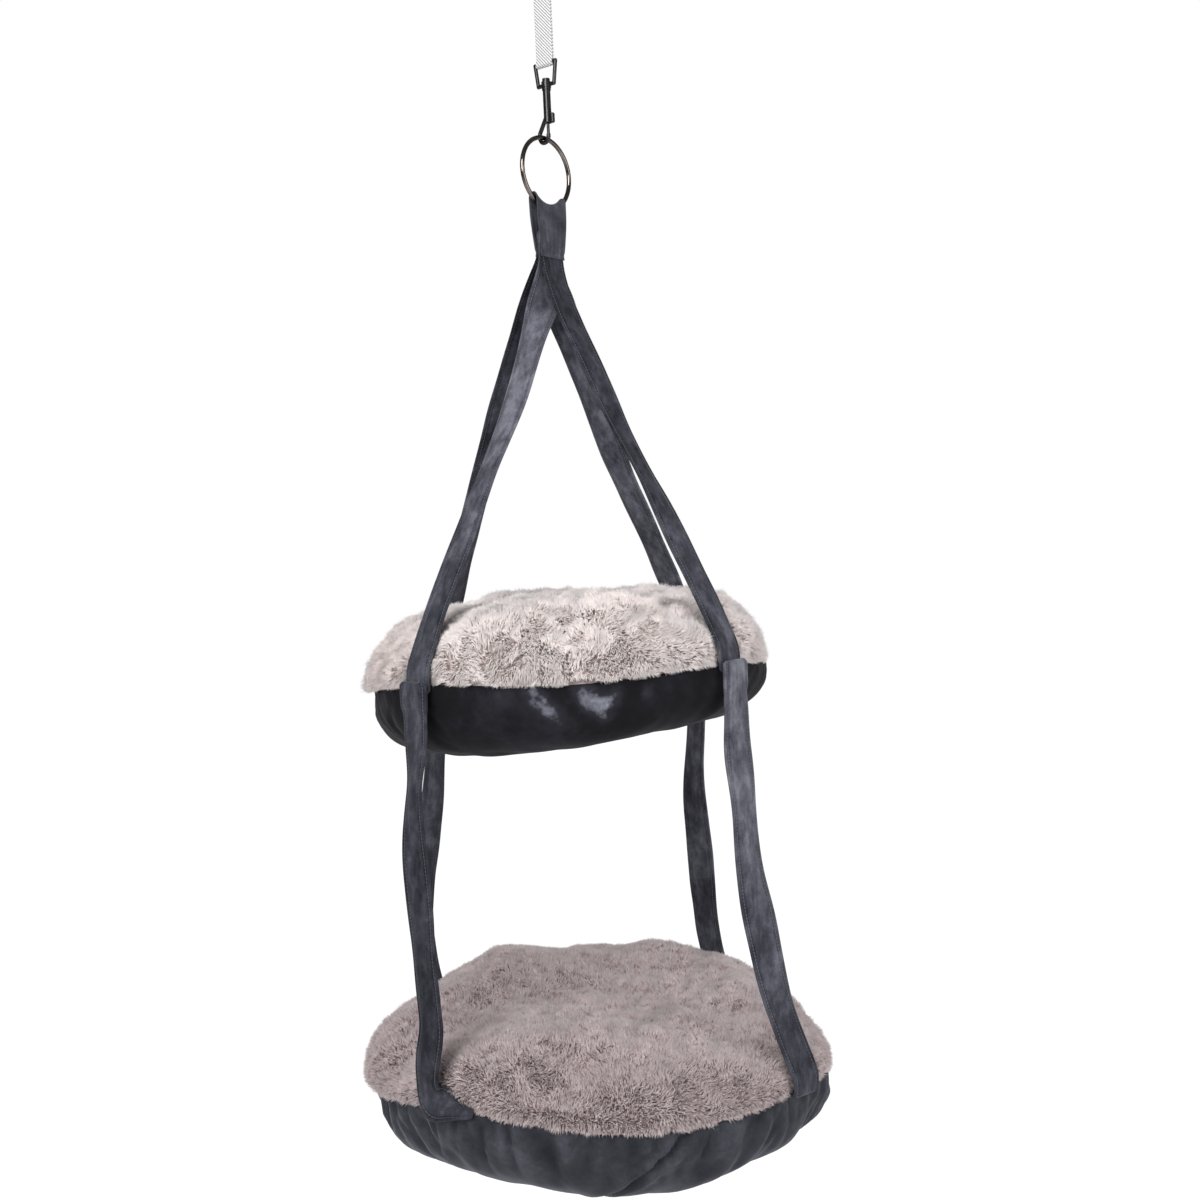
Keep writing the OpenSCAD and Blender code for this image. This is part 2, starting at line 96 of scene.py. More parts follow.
CORNERS = {"front_left": 225, "front_right": 315, "back_right": 45, "back_left": 135}
# How full the outlines of crown and bowl are: the smaller the power, the fuller the edge
PLUSH_EDGE, PLUSH_TOP, BASE_EDGE, BASE_DROP = 0.62, 0.9, 0.5, 0.85
HOLLOW_SHARE = 0.72


def ripple(points, length, seed, waves=24):
    """Smooth random ups and downs in space, about one unit high and one length apart."""
    rng = np.random.default_rng(seed)
    k = rng.normal(size=(waves, 3))
    k *= (2 * math.pi / length * rng.uniform(0.7, 1.3, (waves, 1))) / np.linalg.norm(k, axis=1)[:, None]
    phase = rng.uniform(0, 2 * math.pi, waves)
    return np.cos(points @ k.T + phase).sum(1) * math.sqrt(2 / waves)


def eased(x):
    """0 to 1 with soft ends."""
    t = np.clip(x, 0, 1)
    return t * t * (3 - 2 * t)


class Bed:
    """A round stuffed bed: its rim, the plush crown over it and the velvet base under it."""

    def __init__(self, name, x, y, yaw, radius, rim, tilt, sag, side, crown, depth, dip, lean, phase):
        self.name, self.x, self.y, self.yaw = name, x * MM, y * MM, math.radians(yaw)
        self.radius, self.rim, self.tilt = radius * MM, rim * MM, tilt
        self.sag, self.side = sag * MM, side * MM
        self.crown, self.depth, self.dip, self.lean = crown * MM, depth * MM, dip * MM, lean
        self.phase = phase

    def level(self, a, r):
        middle = (1 + np.cos(4 * a)) / 2
        drop = self.sag * middle + self.side * np.cos(a + self.yaw) ** 2
        return self.rim + self.tilt * r * np.cos(a + self.yaw) - drop * (r / self.radius) ** 2

    def place(self, a, r, z):
        turned = a + self.yaw
        return np.stack([self.x + r * np.cos(turned), self.y + r * np.sin(turned), z + 0 * r], -1)

    def near_strap(self, a):
        off = np.abs(np.mod(a, math.pi / 2) - math.pi / 4)
        return np.clip((NOTCH_END - off) / (NOTCH_END - NOTCH_FULL), 0, 1)

    def swell(self, a, r):
        x, y = r * np.cos(a) / MM, r * np.sin(a) / MM
        turns = [np.radians(w * x + h * y + self.phase * (1 + h)) for w, h in SWELL_WAVES]
        return PLUSH_SWELL * sum(np.cos(turn) for turn in turns)

    def plush(self, a, t, inset):
        notch = NOTCH_DEPTH * self.near_strap(a)
        r = (self.radius + PLUSH_OVER - inset - notch) * np.maximum(np.cos(t), 0) ** PLUSH_EDGE
        share = r / self.radius
        hollow = np.where(share < HOLLOW_SHARE, (1 - (share / HOLLOW_SHARE) ** 2) ** 2, 0)
        lump = PLUSH_LUMP * np.sin(3 * a + math.radians(70)) * np.sin(2 * t)
        lump = lump + self.swell(a, r) * np.sin(2 * t) ** 2
        z = self.level(a, r) + (self.crown - inset) * np.sin(t) ** PLUSH_TOP + lump - self.dip * hollow
        return self.place(a, r, z)

    def base(self, a, t, inset):
        r = (self.radius - inset) * np.maximum(np.cos(t), 0) ** BASE_EDGE
        drop = (self.depth - inset) * np.sin(t) ** BASE_DROP
        leaned = drop * (1 - self.lean * r / self.radius * np.cos(a + self.yaw))
        return self.place(a, r, self.level(a, r) - leaned)


UPPER = Bed("upper", -3, 8, 3, 205, -730.55, 0.025, 8, 10, 75, 83, 8, 0.16, 220)
LOWER = Bed("lower", 12, 8, 10, 236, -1121.55, -0.03, 14, 24, 52, 106, 24, 0.04, 50)
BEDS = {"upper": (UPPER, "sling"), "lower": (LOWER, "lower_bed")}
print("rims in mm:", UPPER.rim / MM, LOWER.rim / MM)

# %% [markdown]
# ## Shader sums in plain Python
# A finish is a tree of nodes. Written out node by node it is hard to read, so a small class wraps an output
# socket and lets + - * add the Math nodes. A second class holds a tree and adds any other node, and a third
# one is a whole material with its Principled skin.

# %% Wires and finishes


class Wire:
    """An output socket that can be used in sums."""

    def __init__(self, nodes, socket):
        self.nodes, self.socket = nodes, socket

    def sum(self, operation, first, second):
        return self.nodes.node("ShaderNodeMath", {"operation": operation}, {0: first, 1: second})

    def __add__(self, other):
        return self.sum("ADD", self, other)

    def __sub__(self, other):
        return self.sum("SUBTRACT", self, other)

    def __rsub__(self, other):
        return self.sum("SUBTRACT", other, self)

    def __mul__(self, other):
        return self.sum("MULTIPLY", self, other)

    __radd__, __rmul__ = __add__, __mul__


class Nodes:
    """A node tree, emptied, with one method that adds any node."""

    def __init__(self, tree):
        self.tree = tree
        tree.nodes.clear()

    def feed(self, socket, value):
        if isinstance(value, Wire):
            self.tree.links.new(value.socket, socket)
        else:
            socket.default_value = value

    def node(self, kind, settings=None, values=None, out=0):
        made = self.tree.nodes.new(kind)
        for name, value in (settings or {}).items():
            if name == "stops":
                while len(made.color_ramp.elements) < len(value):
                    made.color_ramp.elements.new(0.5)
                for stop, (place, colour) in zip(made.color_ramp.elements, value):
                    stop.position, stop.color = place, colour
            else:
                setattr(made, name, value)
        for key, value in (values or {}).items():
            self.feed(made.inputs[key], value)
        return Wire(self, made.outputs[out]) if made.outputs else made


class Finish(Nodes):
    """One material with a Principled skin. A socket's name is written with _ for each blank."""

    def __init__(self, name, **sockets):
        self.material = bpy.data.materials.new(name)
        self.material.use_nodes = True
        super().__init__(self.material.node_tree)
        self.skin = self.node("ShaderNodeBsdfPrincipled")
        self.output = self.node("ShaderNodeOutputMaterial", None, {0: self.skin})
        self.set(**sockets)

    def set(self, **sockets):
        for name, value in sockets.items():
            self.feed(self.skin.socket.node.inputs[name.replace("_", " ")], value)

    def mix(self, share, first, second):
        return self.node("ShaderNodeMix", {"data_type": "RGBA"}, {0: share, 6: first, 7: second}, 2)

    def ramp(self, share, stops):
        return self.node("ShaderNodeValToRGB", {"stops": stops}, {0: share})

    def place(self, stretch=(1, 1, 1), turn=(0, 0, 0)):
        where = self.node("ShaderNodeTexCoord", out="Object")
        return self.node("ShaderNodeMapping", None, {0: where, "Rotation": turn, "Scale": stretch})

    def noise(self, where, scale, detail=3, rough=0.5):
        return self.node("ShaderNodeTexNoise", None,
                         {"Vector": where, "Scale": scale, "Detail": detail, "Roughness": rough})

    def spot(self, centre, size, turn):
        """A soft patch about a point, 1 in its middle and 0 at its edge. Millimetres, and degrees about Y."""
        where = self.node("ShaderNodeTexCoord", out="Object")
        local = self.node("ShaderNodeMapping", {"vector_type": "TEXTURE"},
                          {0: where, "Location": [c * MM for c in centre], "Scale": [c * MM for c in size],
                           "Rotation": (0, math.radians(turn), 0)})
        return self.node("ShaderNodeTexGradient", {"gradient_type": "SPHERICAL"}, {0: local}, 1)

    def uv(self, name):
        """The two coordinates of a piece's own map, each as a wire."""
        both = self.node("ShaderNodeUVMap", {"uv_map": name})
        parts = self.node("ShaderNodeSeparateXYZ", None, {0: both})
        return parts, Wire(self, parts.socket.node.outputs[1])

    def bump(self, height, strength, depth):
        self.set(Normal=self.node("ShaderNodeBump", None,
                                  {"Strength": strength, "Distance": depth, "Height": height}))


def srgb(r, g, b):
    """A screen's colour, 0 to 255, as the linear colour that Blender wants."""
    parts = [c / 255 for c in (r, g, b)]
    return tuple(c / 12.92 if c <= 0.04045 else ((c + 0.055) / 1.055) ** 2.4 for c in parts) + (1.0,)


# %% [markdown]
# ## Camera
# The picture was taken from about 1.35 m, a little above the upper rim, looking slightly down. The camera
# was rolled a little, too: with the hammock hanging plumb, the roll brings its beds to the slant that they
# have in the picture. The lens follows from the picture's width and its focal length, both in pixels.

# %% Camera
FOCAL_PX, FRAME_PX, SENSOR_MM = 1298, 1200, 36
LOOK_DOWN_PX = 51
CAMERA_AT = (0.03347, -1.350, -0.62006)
ROLL, PITCH = math.radians(2.6), math.atan(LOOK_DOWN_PX / FOCAL_PX)
camera_data = bpy.data.cameras.new("picture_camera")
camera_data.sensor_width = SENSOR_MM
camera_data.lens = SENSOR_MM * FOCAL_PX / FRAME_PX
camera = bpy.data.objects.new("picture_camera", camera_data)
look = Matrix.Rotation(math.pi / 2 - PITCH, 4, "X")
camera.matrix_world = Matrix.Translation(CAMERA_AT) @ Matrix.Rotation(ROLL, 4, "Y") @ look
scene.collection.objects.link(camera)
scene.camera = camera
print("lens in mm:", round(camera_data.lens, 2))

# %% [markdown]
# ## Studio
# The ground of the picture is plain white. More light would bleach the plush, so the light stays plain and
# the white is painted in: the world and the floor are white to the camera, and to rays that come through
# glass, and a soft grey light to everything else. Metal gets a darker world to mirror, which gives it its
# contrast.

# %% World light
scene.view_settings.view_transform = "Standard"
AMBIENT, GLOSS_AMBIENT = 0.52, 0.14


def seen_directly(nodes):
    """1 for rays from the camera or through glass, 0 for the light that falls on things."""
    straight = nodes.node("ShaderNodeLightPath", out="Is Camera Ray")
    through = nodes.node("ShaderNodeLightPath", out="Is Transmission Ray")
    return nodes.node("ShaderNodeMath", {"operation": "MAXIMUM"}, {0: straight, 1: through})


scene.world = bpy.data.worlds.new("studio")
scene.world.use_nodes = True
light = Nodes(scene.world.node_tree)
mirrored = light.node("ShaderNodeLightPath", out="Is Glossy Ray")
strength = light.node("ShaderNodeMapRange", None,
                      {"Value": mirrored, "To Min": AMBIENT, "To Max": GLOSS_AMBIENT})
soft = light.node("ShaderNodeBackground", None, {"Color": (0.99, 0.99, 1.0, 1), "Strength": strength})
white = light.node("ShaderNodeBackground", None, {"Color": (1, 1, 1, 1)})
either = light.node("ShaderNodeMixShader", None, {0: seen_directly(light), 1: soft, 2: white})
light.node("ShaderNodeOutputWorld", None, {0: either})
print("world light:", AMBIENT, "for cloth,", GLOSS_AMBIENT, "in metal")

# %% Floor
FLOOR_LEVEL, FLOOR_HALF = -1.62, 6
FLOOR_GLOW, FLOOR_WHITE = 1.12, 0.9
floor_finish = Finish("pale_floor", Roughness=0.9, Specular_IOR_Level=0.1)
mist = floor_finish.noise(floor_finish.place(), 1.5)
floor_finish.set(Base_Color=floor_finish.mix(mist, (0.9, 0.9, 0.9, 1), (0.94, 0.94, 0.94, 1)))
glow = floor_finish.node("ShaderNodeEmission", None, {"Strength": FLOOR_GLOW})
pale = floor_finish.node("ShaderNodeMixShader", None,
                         {0: seen_directly(floor_finish) * FLOOR_WHITE, 1: floor_finish.skin, 2: glow})
floor_finish.feed(floor_finish.output.inputs[0], pale)

floor_bm = bmesh.new()
bmesh.ops.create_grid(floor_bm, x_segments=1, y_segments=1, size=FLOOR_HALF,
                      matrix=Matrix.Translation((0, 0, FLOOR_LEVEL)))
floor_mesh = bpy.data.meshes.new("floor")
floor_bm.to_mesh(floor_mesh)
floor_bm.free()
floor_mesh.materials.append(floor_finish.material)
floor = bpy.data.objects.new("floor", floor_mesh)
scene.collection.objects.link(floor)
print("floor at", FLOOR_LEVEL, "m")

# %% Lamps


def soft_box(name, where, aim, size, watts):
    """A square studio lamp turned towards a point."""
    lamp = bpy.data.lights.new(name, "AREA")
    lamp.shape, lamp.size, lamp.energy = "SQUARE", size, watts
    body = bpy.data.objects.new(name, lamp)
    body.location = where
    body.rotation_euler = (Vector(aim) - Vector(where)).to_track_quat("-Z", "Y").to_euler()
    scene.collection.objects.link(body)


soft_box("key", (-0.7, -2.1, 0.5), (0, 0, -0.75), 1.2, 46)
soft_box("fill", (1.8, -1.6, -0.3), (0, 0, -0.8), 1.6, 19)
soft_box("back", (0.6, 2.0, 0.6), (0, 0, -0.7), 1.6, 16)

# %% [markdown]
# ## Metals
# The snap is black paint that has worn a little, the ring is dark polished plating and the spring is bright
# wire. A flat colour would look like plastic, so soft noise makes the colour and the polish wander, as
# handling does, and a very fine grain breaks the highlights. The four metal solids keep their shapes and
# only get a finish.

# %% Metals
snap_black = Finish("snap_black", Metallic=0.0, Specular_IOR_Level=0.5, Coat_Roughness=0.2)
where = snap_black.place()
cloud = snap_black.noise(where, 60, 3)
snap_black.set(Base_Color=snap_black.ramp(cloud, [(0.3, srgb(7, 7, 8)), (0.75, srgb(19, 18, 19))]),
               Roughness=0.22 + 0.16 * cloud, Coat_Weight=0.12 * cloud)
snap_black.bump(snap_black.noise(where, 900, 2), 0.12, 0.0002)

gunmetal = Finish("gunmetal", Metallic=1.0)
where = gunmetal.place()
cloud = gunmetal.noise(where, 45, 4)
gunmetal.set(Base_Color=gunmetal.ramp(cloud, [(0.25, srgb(104, 96, 92)), (0.8, srgb(140, 132, 126))]),
             Roughness=0.08 + 0.12 * gunmetal.noise(where, 300, 2))
gunmetal.bump(gunmetal.noise(where, 1200, 2), 0.05, 0.0001)

spring_steel = Finish("spring_steel", Metallic=1.0)
cloud = spring_steel.noise(spring_steel.place(), 400, 2)
spring_steel.set(Base_Color=spring_steel.ramp(cloud, [(0.3, srgb(150, 150, 154)), (0.7, srgb(205, 205, 208))]),
                 Roughness=0.2 + 0.2 * cloud)

for node, finish, name in (("snap_eye", snap_black, "snap_metal"), ("snap_hook", snap_black, "snap_metal"),
                           ("snap_bolt", snap_black, "snap_metal"), ("hanging_ring", gunmetal, "ring_metal")):
    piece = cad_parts[node]
    piece.data.materials.clear()
    piece.data.materials.append(finish.material)
    print(node, "has", finish.material.name)

# %% [markdown]
# ## Bolt spring
# The spring in the snap's barrel is pressed together when the bolt is drawn. A curve with a bevel could
# make the coil, too, but a small circle, spun and lifted step by step, gives a plain closed mesh at once.

# %% Coil of wire
SPRING_WIRE, WIRE_SIDES, SPRING_TURNS, TURN_STEPS = 0.5 * MM, 8, 6, 24
spring_low, spring_high = (Vector(c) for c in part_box("snap_spring"))
spring_axis = (spring_low + spring_high) / 2
coil_r = (spring_high.x - spring_low.x - SPRING_WIRE) / 2
climb = (spring_high.z - spring_low.z - SPRING_WIRE) / (SPRING_TURNS * TURN_STEPS)
first = Vector((spring_axis.x + coil_r, spring_axis.y, spring_low.z + SPRING_WIRE / 2))
spring_bm = bmesh.new()
bmesh.ops.create_circle(spring_bm, segments=WIRE_SIDES, radius=SPRING_WIRE / 2,
                        matrix=Matrix.Translation(first) @ Matrix.Rotation(math.pi / 2, 4, "X"))
bmesh.ops.spin(spring_bm, geom=spring_bm.edges[:], cent=spring_axis, axis=(0, 0, 1), dvec=(0, 0, climb),
               angle=2 * math.pi * SPRING_TURNS, steps=SPRING_TURNS * TURN_STEPS)
bmesh.ops.holes_fill(spring_bm, edges=spring_bm.edges[:], sides=0)
bmesh.ops.recalc_face_normals(spring_bm, faces=spring_bm.faces)
spring_mesh = bpy.data.meshes.new("bolt_spring")
spring_bm.to_mesh(spring_mesh)
spring_bm.free()
spring_mesh.shade_smooth()
spring_mesh.materials.append(spring_steel.material)
spring = bpy.data.objects.new("bolt_spring", spring_mesh)
scene.collection.objects.link(spring)
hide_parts("snap_spring")
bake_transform(spring)
print("spring in mm:", [round(c / MM, 2) for c in spring.dimensions])
print("its solid in mm:", [round(c / MM, 2) for c in spring_high - spring_low])

# %% [markdown]
# ## Velvet
# Velvet is dark where its nap stands up and paler where it was brushed, so its colour wanders in soft
# patches, with a sheen at grazing angles. A plain dark colour would look like felt. The ridges of folds are
# painted paler and their valleys painted darker, too: painted shade and sheen from a map of the folds'
# height that the piece brings. A few pale spots with frayed edges are painted sheen.

# %% Velvet
NAP_SHEEN = srgb(190, 192, 202)
# Pale colour of the painted sheen, at the top of the velvet's ramp
PAINTED_SHEEN = srgb(132, 134, 146)


def velvet(name, dark, middle, pale, sheen, nap_scale, relief=0.0, sheen_spots=()):
    """Short dense pile: soft patches of nap, fine grain and sheen, with painted shade and sheen on folds by
    relief, paler on their ridges and darker in their valleys, and spots of painted sheen by sheen_spots."""
    made = Finish(name, Specular_IOR_Level=0.12, Sheen_Weight=sheen, Sheen_Roughness=0.32, Sheen_Tint=NAP_SHEEN)
    where = made.place()
    patches = made.noise(where, nap_scale, 4, 0.6)
    crush = made.noise(where, nap_scale * 9, 4, 0.65)
    grain = made.noise(where, 1400, 2)
    shade = patches * 0.65 + crush * 0.25 + grain * 0.1
    # Painted shade and sheen on folds: paler on their ridges, darker in their valleys
    if relief:
        ridge, _ = made.uv("relief")
        shade = shade + ridge * relief
    # Painted sheen: pale spots with frayed edges, where the cloth catches the light
    fray = made.noise(where, 70, 5, 0.65)
    for centre, size, turn, strength in sheen_spots:
        sheen_spot = made.node("ShaderNodeMapRange", {"interpolation_type": "SMOOTHSTEP"},
                           {0: made.spot(centre, size, turn), 1: 0.0, 2: 0.9, 3: 0.0, 4: strength})
        shade = shade + sheen_spot * (fray * 1.5 - 0.05)
    made.set(Base_Color=made.ramp(shade, [(0.32, dark), (0.52, middle), (0.72, pale), (1.0, PAINTED_SHEEN)]),
             Roughness=0.75 + 0.2 * grain)
    made.bump(grain * 0.5 + crush * 0.7, 0.3, 0.0007)
    return made


# Painted sheen spots on the upper base: middle and half sizes in mm, turn in degrees, strength
UPPER_SHEEN_SPOTS = (((-24, -195, -755), (15, 60, 40), -38, 0.46), ((18, -193, -754), (16, 60, 34), -44, 0.4),
                 ((37, -188, -760), (14, 60, 34), 29, 0.42), ((70, -178, -749), (9, 60, 18), 0, 0.26),
                 ((-62, -187, -748), (16, 60, 14), -50, 0.14))
collar_velvet = velvet("collar_velvet", srgb(44, 45, 51), srgb(66, 67, 74), srgb(92, 93, 101), 0.35, 60)
upper_velvet = velvet("upper_velvet", srgb(14, 14, 17), srgb(22, 22, 26), srgb(40, 40, 47), 0.16, 14,
                      relief=0.1, sheen_spots=UPPER_SHEEN_SPOTS)
lower_velvet = velvet("lower_velvet", srgb(34, 35, 40), srgb(50, 51, 57), srgb(72, 73, 80), 0.35, 22, relief=0.2)
print("strokes on the upper base:", len(UPPER_SHEEN_SPOTS))

# %% [markdown]
# ## Strap velvet
# A strap's nap shows streaks along it, and a stitched line runs near each edge, with painted shade in the
# groove beside it. Both follow the strap wherever it goes, so the shader reads the cut's own map: its first
# coordinate runs round the strap and its second one along it. Straps of one cloth don't look alike in the
# picture, since the nap of each lies another way to the light, so each strap gets painted light, paler or
# darker, and painted shade where it turns from the light.

# %% Strap velvet
STITCH_HALF_STEP = 1.7 * MM


def strap_velvet(name, painted_nap_light, fade):
    """Velvet of a strap, with a stitched line near each edge and painted shade in the groove beside it.
    painted_nap_light is painted light that makes the strap paler or darker, as the nap of a strap looks when it
    runs up or down. fade is painted shade: where the strap turns from the light, in metres along it, and how
    much darker it gets."""
    made = Finish(name, Specular_IOR_Level=0.12, Sheen_Weight=0.35, Sheen_Roughness=0.35, Sheen_Tint=NAP_SHEEN)
    round_u, along_v = made.uv("cut")
    quarter = made.node("ShaderNodeMath", {"operation": "FRACT"}, {0: round_u * (2 / STRAP_W)})
    off_line = made.node("ShaderNodeMath", {"operation": "ABSOLUTE"}, {0: quarter - 0.5})
    # Painted shade in the groove along each stitched line
    groove_shade = made.node("ShaderNodeMapRange", {"interpolation_type": "SMOOTHSTEP"},
                       {0: off_line, 1: 0.05, 2: 0.16, 3: 1.0, 4: 0.0})
    line = made.node("ShaderNodeMapRange", {}, {0: off_line, 1: 0.015, 2: 0.04, 3: 1.0, 4: 0.0})
    step = made.node("ShaderNodeMath", {"operation": "PINGPONG"}, {0: along_v, 1: STITCH_HALF_STEP})
    dash = made.node("ShaderNodeMapRange", {}, {0: step, 1: 0.3 * MM, 2: 0.6 * MM, 3: 0.0, 4: 1.0})
    stitch = line * dash * 0.5
    tone = made.noise(made.place(), 7, 2)
    patch = made.noise(made.place((1, 1, 0.6)), 62, 5, 0.7)
    streak = made.noise(made.place((1, 1, 0.08)), 230, 3)
    grain = made.noise(made.place(), 1500, 2)
    # Painted shade where the strap turns from the light
    away = made.node("ShaderNodeMapRange", {"interpolation_type": "SMOOTHSTEP"},
                     {0: along_v, 1: fade[0], 2: fade[1], 3: 0.0, 4: fade[2]})
    # groove_shade, fade and painted_nap_light are painted light and shade
    shade = tone * 0.6 + patch * 0.8 + streak * 0.2 + grain * 0.15 - groove_shade * 0.1 - away + (painted_nap_light - 0.36)
    nap = made.ramp(shade, [(0.28, srgb(30, 31, 37)), (0.48, srgb(58, 59, 67)), (0.62, srgb(84, 85, 94)),
                            (0.8, srgb(120, 121, 131))])
    made.set(Base_Color=made.mix(stitch, nap, srgb(120, 121, 130)), Roughness=0.75 + 0.2 * grain)
    made.bump(patch * 0.35 + streak * 0.3 + grain * 0.2 + stitch, 0.45, 0.0009)
    return made


# Painted light of each strap: how much paler or darker it is, and where and how much painted shade darkens it
STRAP_PAINTED_LIGHT = {
    "sling_strap_front_left": (0.13, (0.22, 0.46, 0.14)), "sling_strap_front_right": (-0.08, (0.3, 0.45, -0.04)),
    "sling_strap_back_right": (0.1, (0.0, 0.1, 0.0)), "sling_strap_back_left": (-0.1, (0.2, 0.45, -0.18)),
    "tier_strap_front_left": (-0.09, (0.2, 0.3, 0.04)), "tier_strap_front_right": (0.14, (0.1, 0.26, 0.17)),
    "tier_strap_back_right": (0.13, (0.12, 0.3, 0.16)), "tier_strap_back_left": (0.04, (0.2, 0.35, 0.0)),
}
STRAP_VELVETS = {name: strap_velvet(name + "_velvet", *tone) for name, tone in STRAP_PAINTED_LIGHT.items()}
print("strap finishes:", len(STRAP_VELVETS))

# %% [markdown]
# ## Webbing twill
# The webbing is a pale twill: ribs run slanting over the band, with the single yarns across them. Sines of
# the cut's own coordinates draw both, so that the ribs go round the loops with the band.

# %% Webbing twill
RIB_STEP, RIB_SLANT = 3.4 * MM, 1.1
webbing_twill = Finish("webbing_twill", Specular_IOR_Level=0.3, Sheen_Weight=0.2)
cut_u, cut_v = webbing_twill.uv("cut")
slant = (cut_v - cut_u * RIB_SLANT) * (1 / RIB_STEP)
rib = webbing_twill.node("ShaderNodeMath", {"operation": "SINE"}, {0: slant * (2 * math.pi)}) * 0.5 + 0.5
yarn = webbing_twill.node("ShaderNodeMath", {"operation": "SINE"}, {0: (cut_u * 900 + cut_v * 1000) * 2.6})
height = rib * 0.8 + yarn * 0.1 + webbing_twill.noise(webbing_twill.place(), 700, 2) * 0.2
TWILL_TONES = [(0.12, srgb(138, 138, 140)), (0.45, srgb(208, 208, 208)), (0.9, srgb(236, 236, 235))]
webbing_twill.set(Base_Color=webbing_twill.ramp(height, TWILL_TONES), Roughness=0.9 - 0.25 * height)
webbing_twill.bump(height, 0.7, 0.0008)
print("rib step in mm:", RIB_STEP / MM)

# %% [markdown]
# ## Plush
# Plush is pile on a knitted ground. The pile is made of real locks further down, so its shader only has to
# colour them: dark at the root, which is painted shade down in the pile, pale at the tip, and each lock a
# little different from its neighbours. The map that the locks bring says which lock it is and how far along
# it a point lies. The ground shows only between them.

# %% Plush


def plush_pile(name, root, middle, tip):
    """Locks of pile: dark at the root, which is painted shade down in the pile, pale at the tip, each lock a
    little different. The map's second coordinate runs along the lock and its first one is the lock's own
    shade."""
    made = Finish(name, Specular_IOR_Level=0.15, Sheen_Weight=0.25, Sheen_Roughness=0.5)
    tone, along = made.uv("OFBake")
    # Painted shade: the nearer the root, the darker
    shade = along * 0.62 + tone * 0.9 - 0.26
    made.set(Base_Color=made.ramp(shade, [(0.05, root), (0.5, middle), (0.95, tip)]),
             Roughness=0.95 - 0.25 * along)
    return made


def plush_ground(name, dark, pale):
    """The knitted ground under the pile, seen only between the locks."""
    made = Finish(name, Specular_IOR_Level=0.1)
    mottle = made.noise(made.place(), 130, 3)
    made.set(Base_Color=made.ramp(mottle, [(0.3, dark), (0.7, pale)]), Roughness=0.85 + 0.15 * mottle)
    made.bump(mottle, 0.6, 0.003)
    return made


PILES = {"upper": plush_pile("upper_pile", srgb(208, 192, 188), srgb(236, 225, 222), srgb(250, 244, 242)),
         "lower": plush_pile("lower_pile", srgb(128, 108, 108), srgb(192, 174, 174), srgb(230, 217, 216))}
GROUNDS = {"upper": plush_ground("upper_ground", srgb(194, 178, 174), srgb(214, 200, 196)),
           "lower": plush_ground("lower_ground", srgb(116, 98, 97), srgb(146, 128, 127))}
print("finishes:", sorted(m.name for m in bpy.data.materials if m.users))

# %% [markdown]
# ## A grid bent into place
# Every flat or tubular piece of cloth starts as a plain grid. Its two directions are the cut's width and
# length, so the map that shaders read is right before anything is bent. The grid's points are then moved
# onto the cloth's real shape, doubled points along a closing seam are merged, and open ends are filled.
# Sculpting by hand could give the same shapes, but sums can be changed and run again.

# %% Cloth from a grid
SAME_POINT = 2e-6


def cloth(name, across, along, shape, cut, finish, closed=False, wall=0.0, relief=None):
    """A piece of cloth: shape turns arrays u and v, from 0 to 1, into points. relief gives the height of
    its folds for a second map, from which the shaders paint shade and sheen on the folds."""
    bm = bmesh.new()
    bmesh.ops.create_grid(bm, x_segments=across, y_segments=along, size=0.5)
    layer = bm.loops.layers.uv.new("cut")
    for face in bm.faces:
        for loop in face.loops:
            loop[layer].uv = ((loop.vert.co.x + 0.5) * cut[0], (loop.vert.co.y + 0.5) * cut[1])
    flat = np.array([v.co for v in bm.verts]) + 0.5
    if relief:
        layer = bm.loops.layers.uv.new("relief")
        height = relief(flat[:, 0], flat[:, 1])
        bm.verts.index_update()
        for face in bm.faces:
            for loop in face.loops:
                loop[layer].uv = (height[loop.vert.index], 0.5)
    for vert, point in zip(bm.verts, shape(flat[:, 0], flat[:, 1])):
        vert.co = point
    bmesh.ops.remove_doubles(bm, verts=bm.verts, dist=SAME_POINT)
    if closed:
        bmesh.ops.holes_fill(bm, edges=bm.edges, sides=0)
    bmesh.ops.recalc_face_normals(bm, faces=bm.faces)
    if wall:
        bmesh.ops.solidify(bm, geom=bm.faces[:], thickness=wall)
        bmesh.ops.recalc_face_normals(bm, faces=bm.faces)
    mesh = bpy.data.meshes.new(name)
    bm.to_mesh(mesh)
    bm.free()
    mesh.shade_smooth()
    mesh.materials.append(finish.material)
    made = bpy.data.objects.new(name, mesh)
    scene.collection.objects.link(made)
    return made


def banded(piece, thickness, edge):
    """Live modifiers that give a flat piece its thickness and soft edges."""
    thick = piece.modifiers.new("cloth_thickness", "SOLIDIFY")
    thick.thickness, thick.offset = thickness, 0
    rounded = piece.modifiers.new("soft_edges", "BEVEL")
    rounded.width, rounded.segments, rounded.limit_method = edge, 2, "ANGLE"


def bezier(p, q, r, s, t):
    """Points of the curve from p to s that q and r pull at."""
    t = t[:, None]
    return (1 - t) ** 3 * p + 3 * t * (1 - t) ** 2 * q + 3 * t * t * (1 - t) * r + t ** 3 * s


def unit(v):
    return v / np.maximum(np.linalg.norm(v, axis=-1, keepdims=True), 1e-12)


def evenly(points, sides, count):
    """The same route with points at equal steps, and the length of the route."""
    steps = np.linalg.norm(np.diff(points, axis=0), axis=1)
    run = np.concatenate([[0], np.cumsum(steps)])
    at = np.linspace(0, run[-1], count)
    pick = lambda values: np.stack([np.interp(at, run, values[:, k]) for k in range(3)], 1)
    return pick(points), unit(pick(sides)), float(run[-1])


# %% [markdown]
# ## Webbing
# The hanging strap is one band of webbing folded double: a loop for a hook at the top, both layers sewn
# together, and a small loop round the snap's bar. The band follows a closed route in its own plane, so one
# grid makes it.

# %% Hanging strap
WEB_W, WEB_T, LOOP_R = 20 * MM, 1.8 * MM, 12 * MM
BAR_R, BAR_GAP = 2 * MM, 0.15 * MM
WEB_ACROSS, WEB_ROWS = 8, 260


